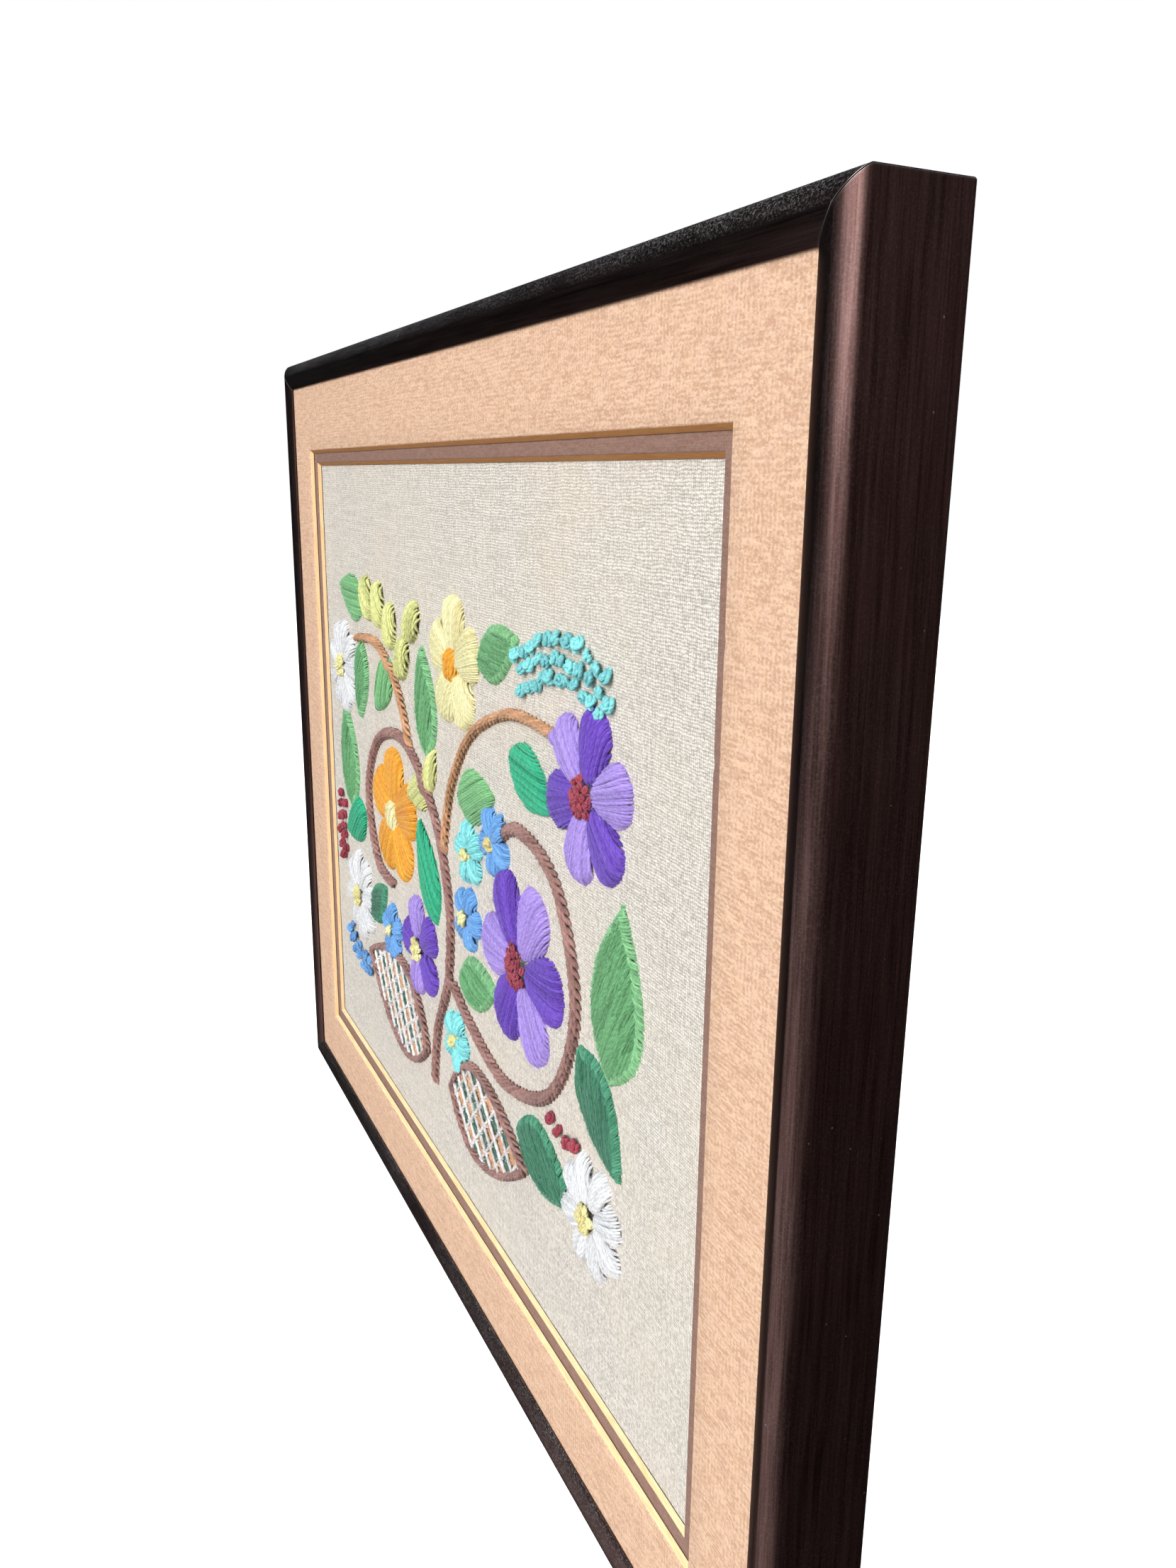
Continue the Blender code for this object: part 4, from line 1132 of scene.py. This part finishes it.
peach = paper_finish("peach_laid_paper", "C0997E", "DDBA9F", "DFB690", "D8AB97", 0.92, 820, 0.30 * MM)
mauve = paper_finish("mauve_paper", "806155", "947568", "8F715E", "886C69", 0.88, 1500, 0.06 * MM)
peach_core = core_finish("peach_mat_core", "E2BC84", "F6DCAE")
mauve_core = core_finish("mauve_mat_core", "DEB880", "F2DAAE")
outer_mat = mat_board("outer_mat_board", WINDOW_WIDTH, WINDOW_HEIGHT, MAT_FACE, (
    (0, 0.108, 1.6 * MM, 0.55 * MM), (0, 0.116, 1.1 * MM, 0.4 * MM), (0, 0.127, 1.8 * MM, 0.5 * MM),
    (1, 0.083, 1.6 * MM, 0.5 * MM), (2, -0.06, 1.2 * MM, 0.25 * MM)), peach, peach_core)
inset = 2 * (MAT_THICK + REVEAL)
inner_mat = mat_board("inner_mat_board", WINDOW_WIDTH - inset, WINDOW_HEIGHT - inset, INNER_MAT_FACE, (
    (1, 0.060, 1.5 * MM, 0.5 * MM), (0, 0.05, 1.4 * MM, 0.35 * MM), (3, 0.03, 1.3 * MM, 0.3 * MM)), mauve, mauve_core)
for board, node, slot in ((outer_mat, "outer_mat", "peach_mat"), (inner_mat, "inner_mat", "mauve_mat")):
    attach(board, "root")
    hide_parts(node)

# The frame is four lengths of extruded aluminium section, anodised dark bronze and mitred at the corners.
# Its nose is a rounded dome with a thin lip over the mat. The drawn metal has fine streaks along its length.
FRAME_WIDTH = 368.8 * MM
FRAME_HEIGHT = 304.6 * MM
RAIL_DEPTH = 22.2 * MM
RAIL_FRONT = -11.1 * MM
RAIL_FACE = 9.5 * MM
RAIL_WALL = 1.3 * MM
LIP_BACK = 2.1 * MM
MITRE_SETBACK = 0.18 * MM


def dome_side(power, foot, top, steps):
    points = []
    for step in range(steps):
        angle = math.pi / 2 * step / steps
        along = math.cos(angle) ** (2 / power)
        rise = math.sin(angle) ** (2 / power)
        points.append((top[0] + (foot[0] - top[0]) * along, foot[1] + (top[1] - foot[1]) * rise))
    return points


def section_outline():
    """The section as (inward from the outer face, depth behind the front), starting at a hidden inner corner."""
    crest = (4.7 * MM, 0.0)
    outline = [(RAIL_WALL, LIP_BACK), (RAIL_WALL, 21.0 * MM), (7.5 * MM, 21.0 * MM), (7.5 * MM, RAIL_DEPTH)]
    for step in range(7):
        angle = math.pi / 2 * step / 6
        outline.append((0.6 * MM * (1 - math.sin(angle)), RAIL_DEPTH - 0.6 * MM * (1 - math.cos(angle))))
    outline += [(0.0, depth * MM) for depth in (16, 10.5, 5.2)]
    outline += dome_side(1.6, (0.0, 3.4 * MM), crest, 22)
    outline.append(crest)
    outline += reversed(dome_side(1.25, (RAIL_FACE, 1.7 * MM), crest, 22))
    outline.append((RAIL_FACE, LIP_BACK))
    return outline


def rail(name, length, degrees, place, metal):
    """One mitred length. It keeps where each point is along the rail and round its section, and its worn edge."""
    outline = section_outline()
    middle = Vector((5.0 * MM, 9.0 * MM))
    steps = [(Vector(b) - Vector(a)).length for a, b in zip(outline, outline[1:])]
    round_section = np.append(0, np.cumsum(steps))
    setbacks = (0.0, 0.06, 0.2, 0.6, 1.6, 5.0)
    lines = [(-1, back * MM) for back in setbacks] + [(0, share) for share in np.linspace(-0.85, 0.85, 15)]
    lines += [(1, back * MM) for back in reversed(setbacks)]
    corners, worn, runs = [], [], []
    turned_rail = Matrix.Translation(place) @ Matrix.Rotation(math.radians(degrees), 4, "Y")
    for end, back in lines:
        for inward, depth in outline:
            reach = length / 2 - inward - MITRE_SETBACK
            along = end * (reach - back) if end else back * (reach - 5 * MM)
            eased = 0.05 * MM if end and back == 0 else 0.0
            toward = (middle - Vector((inward, depth))).normalized() * eased
            corners.append(turned_rail @ Vector((along, RAIL_FRONT + depth + toward.y, inward + toward.x)))
            worn.append(max(0.0, 1 - back / (0.22 * MM)) if end else 0.0)
            runs.append(along)
    size = len(outline)
    faces = [tuple(range(size)), tuple(range(len(corners) - 1, len(corners) - size - 1, -1))]
    for i in range(len(lines) - 1):
        for k in range(size):
            follow = (k + 1) % size
            faces.append((i * size + k, (i + 1) * size + k, (i + 1) * size + follow, i * size + follow))
    piece = new_piece(name, corners, faces, metal)
    shape = bmesh.new()
    shape.from_mesh(piece.data)
    bmesh.ops.recalc_face_normals(shape, faces=shape.faces)
    shape.to_mesh(piece.data)
    shape.free()
    mesh = piece.data
    mesh.set_sharp_from_angle(angle=math.radians(28))
    mesh.attributes.new("worn", "FLOAT", "POINT").data.foreach_set("value", np.array(worn, np.float32))
    places = np.c_[runs, np.tile(round_section, len(lines)), np.zeros(len(runs))].astype(np.float32)
    mesh.attributes.new("drawn", "FLOAT_VECTOR", "POINT").data.foreach_set("vector", places.ravel())
    return piece


metal, tree, shader = finish("bronze_anodised", (0.066, 0.035, 0.031), 0.36, 1.0)
shader.inputs["Specular Tint"].default_value = (0.5, 0.48, 0.48, 1.0)
drawn = add(tree, "ShaderNodeAttribute", attribute_name="drawn").outputs["Vector"]
fine = noise(tree, add(tree, "ShaderNodeMapping", {"Vector": drawn, "Scale": (50.0, 2600.0, 1.0)}).outputs[0], 1.0, 3, 0.6)
broad = noise(tree, add(tree, "ShaderNodeMapping", {"Vector": drawn, "Scale": (26.0, 640.0, 1.0)}).outputs[0], 1.0, 2, 0.6)
grain = noise(tree, object_place(tree), 3600, 2, 0.7)
streak = calc(tree, "ADD", calc(tree, "MULTIPLY", fine, 0.4), calc(tree, "MULTIPLY", broad, 0.4))
streak = calc(tree, "ADD", streak, calc(tree, "MULTIPLY", grain, 0.2))
bronze = blended(tree, stretch(tree, streak, 0.40, 0.60), (0.0360, 0.0180, 0.0160), (0.0920, 0.0515, 0.0465))
upward = add(tree, "ShaderNodeSeparateXYZ", {0: add(tree, "ShaderNodeNewGeometry").outputs["Normal"]}).outputs[2]
powder = calc(tree, "MULTIPLY", stretch(tree, noise(tree, object_place(tree), 38, 4, 0.65), 0.30, 0.60, 0.25, 1.0),
              stretch(tree, noise(tree, object_place(tree), 2100, 3, 0.8), 0.49, 0.62, 0.04, 1.0))
dusty = calc(tree, "MULTIPLY", powder, stretch(tree, upward, -0.05, 0.70, 0.01, 0.75))
specks = add(tree, "ShaderNodeTexVoronoi", {"Vector": object_place(tree), "Scale": 260.0})
speck_pick = add(tree, "ShaderNodeSeparateColor", {0: specks.outputs["Color"]})
speck = calc(tree, "MULTIPLY", calc(tree, "GREATER_THAN", speck_pick.outputs[0], 0.93),
             stretch(tree, specks.outputs["Distance"], 0.02, 0.06, 0.5, 0.0))
worn = add(tree, "ShaderNodeAttribute", attribute_name="worn").outputs["Fac"]
silvered = blended(tree, calc(tree, "MULTIPLY", worn, 0.55), bronze, (0.34, 0.30, 0.29))
grey = calc(tree, "MAXIMUM", dusty, speck)
tree.links.new(blended(tree, grey, silvered, (0.33, 0.33, 0.335)), shader.inputs["Base Color"])
tree.links.new(stretch(tree, grey, 0.0, 0.8, 1.0, 0.35), shader.inputs["Metallic"])
rough = calc(tree, "ADD", stretch(tree, streak, 0.3, 0.7, 0.33, 0.40), calc(tree, "MULTIPLY", grey, 0.4))
tree.links.new(rough, shader.inputs["Roughness"])
bump(tree, shader, fine, 0.012 * MM, 0.5)
for name, length, degrees, place in (
        ("rail_bottom", FRAME_WIDTH, 0, (0, 0, 0)),
        ("rail_left", FRAME_HEIGHT, 90, (-FRAME_WIDTH / 2, 0, FRAME_HEIGHT / 2)),
        ("rail_top", FRAME_WIDTH, 180, (0, 0, FRAME_HEIGHT)),
        ("rail_right", FRAME_HEIGHT, 270, (FRAME_WIDTH / 2, 0, FRAME_HEIGHT / 2))):
    piece = rail(name + "_section", length, degrees, place, metal)
    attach(piece, "root")
    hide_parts(name)

# The floor is plain and pale, and the backdrop is white. Both are for the camera alone, so that they
# don't light the panel. The light is a tall soft box in front on the right, like a window, a weak one above,
# one behind, one that comes back up from the floor, and a dim room. A low one in front on the left shows only
# as shine on the metal.
pale, tree, shader = finish("pale_floor", (0.86, 0.86, 0.86), 0.9)
tone = noise(tree, object_place(tree), 3, 2)
tree.links.new(blended(tree, tone, (0.85, 0.85, 0.85), (0.87, 0.87, 0.87)), shader.inputs["Base Color"])
shader.inputs["Emission Color"].default_value = (1.0, 1.0, 1.0, 1.0)
shader.inputs["Emission Strength"].default_value = 0.95
floor = new_piece("floor", [(-30, -30, 0), (30, -30, 0), (30, 30, 0), (-30, 30, 0)], [(0, 1, 2, 3)], pale)
white, tree, shader = finish("white_backdrop", (0.0, 0.0, 0.0), 1.0)
shader.inputs["Emission Color"].default_value = (1.0, 1.0, 1.0, 1.0)
shader.inputs["Emission Strength"].default_value = 1.0
ring = [(20 * math.cos(i * math.pi / 16), 20 * math.sin(i * math.pi / 16)) for i in range(32)]
corners = [(x, y, -1) for x, y in ring] + [(x, y, 20) for x, y in ring]
faces = [(i, 32 + i, 32 + (i + 1) % 32, (i + 1) % 32) for i in range(32)] + [tuple(range(63, 31, -1))]
backdrop = new_piece("backdrop", corners, faces, white)
for stage in (floor, backdrop):
    stage.visible_diffuse = stage.visible_glossy = stage.visible_shadow = False
    stage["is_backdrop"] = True


def soft_light(name, place, target, width, height, power, lights=True, shines=True):
    lamp = bpy.data.lights.new(name, "AREA")
    lamp.shape = "RECTANGLE"
    lamp.size, lamp.size_y = width, height
    lamp.energy = power
    holder = bpy.data.objects.new(name, lamp)
    holder.location = place
    holder.rotation_euler = (Vector(target) - Vector(place)).to_track_quat("-Z", "Y").to_euler()
    holder.visible_diffuse = lights
    holder.visible_glossy = shines
    holder.visible_camera = False
    bpy.context.scene.collection.objects.link(holder)


soft_light("window_light", (1.48, -2.42, 1.42), (0.18, 0.0, 0.15), 2.30, 2.14, 142)
soft_light("top_light", (0.1, -0.7, 1.7), (0.0, -0.05, 0.15), 1.4, 1.0, 3)
soft_light("back_light", (-0.9, 1.56, 0.9), (0.0, 0.0, 0.15), 1.5, 1.2, 34)
soft_light("low_shine", (-0.07, -0.91, -0.60), (0.18, 0.0, 0.08), 1.3, 1.0, 7.6, lights=False)
soft_light("floor_bounce", (0.30, -0.50, -0.15), (0.10, 0.0, 0.05), 0.9, 0.5, 1.0, shines=False)
world = bpy.data.worlds.new("studio")
world.use_nodes = True
tree = world.node_tree
toward = add(tree, "ShaderNodeSeparateXYZ", {0: add(tree, "ShaderNodeTexCoord").outputs["Generated"]})
from_right = stretch(tree, toward.outputs[0], -0.9, 0.9, 0.06, 0.30)
from_above = stretch(tree, toward.outputs[2], -0.5, 0.45, 0.42, 1.5)
tree.links.new(calc(tree, "MULTIPLY", from_right, from_above), tree.nodes["Background"].inputs["Strength"])
cool = blended(tree, stretch(tree, toward.outputs[0], -0.9, 0.0), (0.40, 1.10, 1.36), (1.0, 1.0, 1.0))
warm = blended(tree, stretch(tree, toward.outputs[0], 0.2, 0.8), cool, (1.0, 0.80, 0.78))
sky = blended(tree, stretch(tree, toward.outputs[2], 0.2, 0.7), warm, (0.66, 1.05, 1.22))
tree.links.new(sky, tree.nodes["Background"].inputs["Color"])
bpy.context.scene.world = world

low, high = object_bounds()
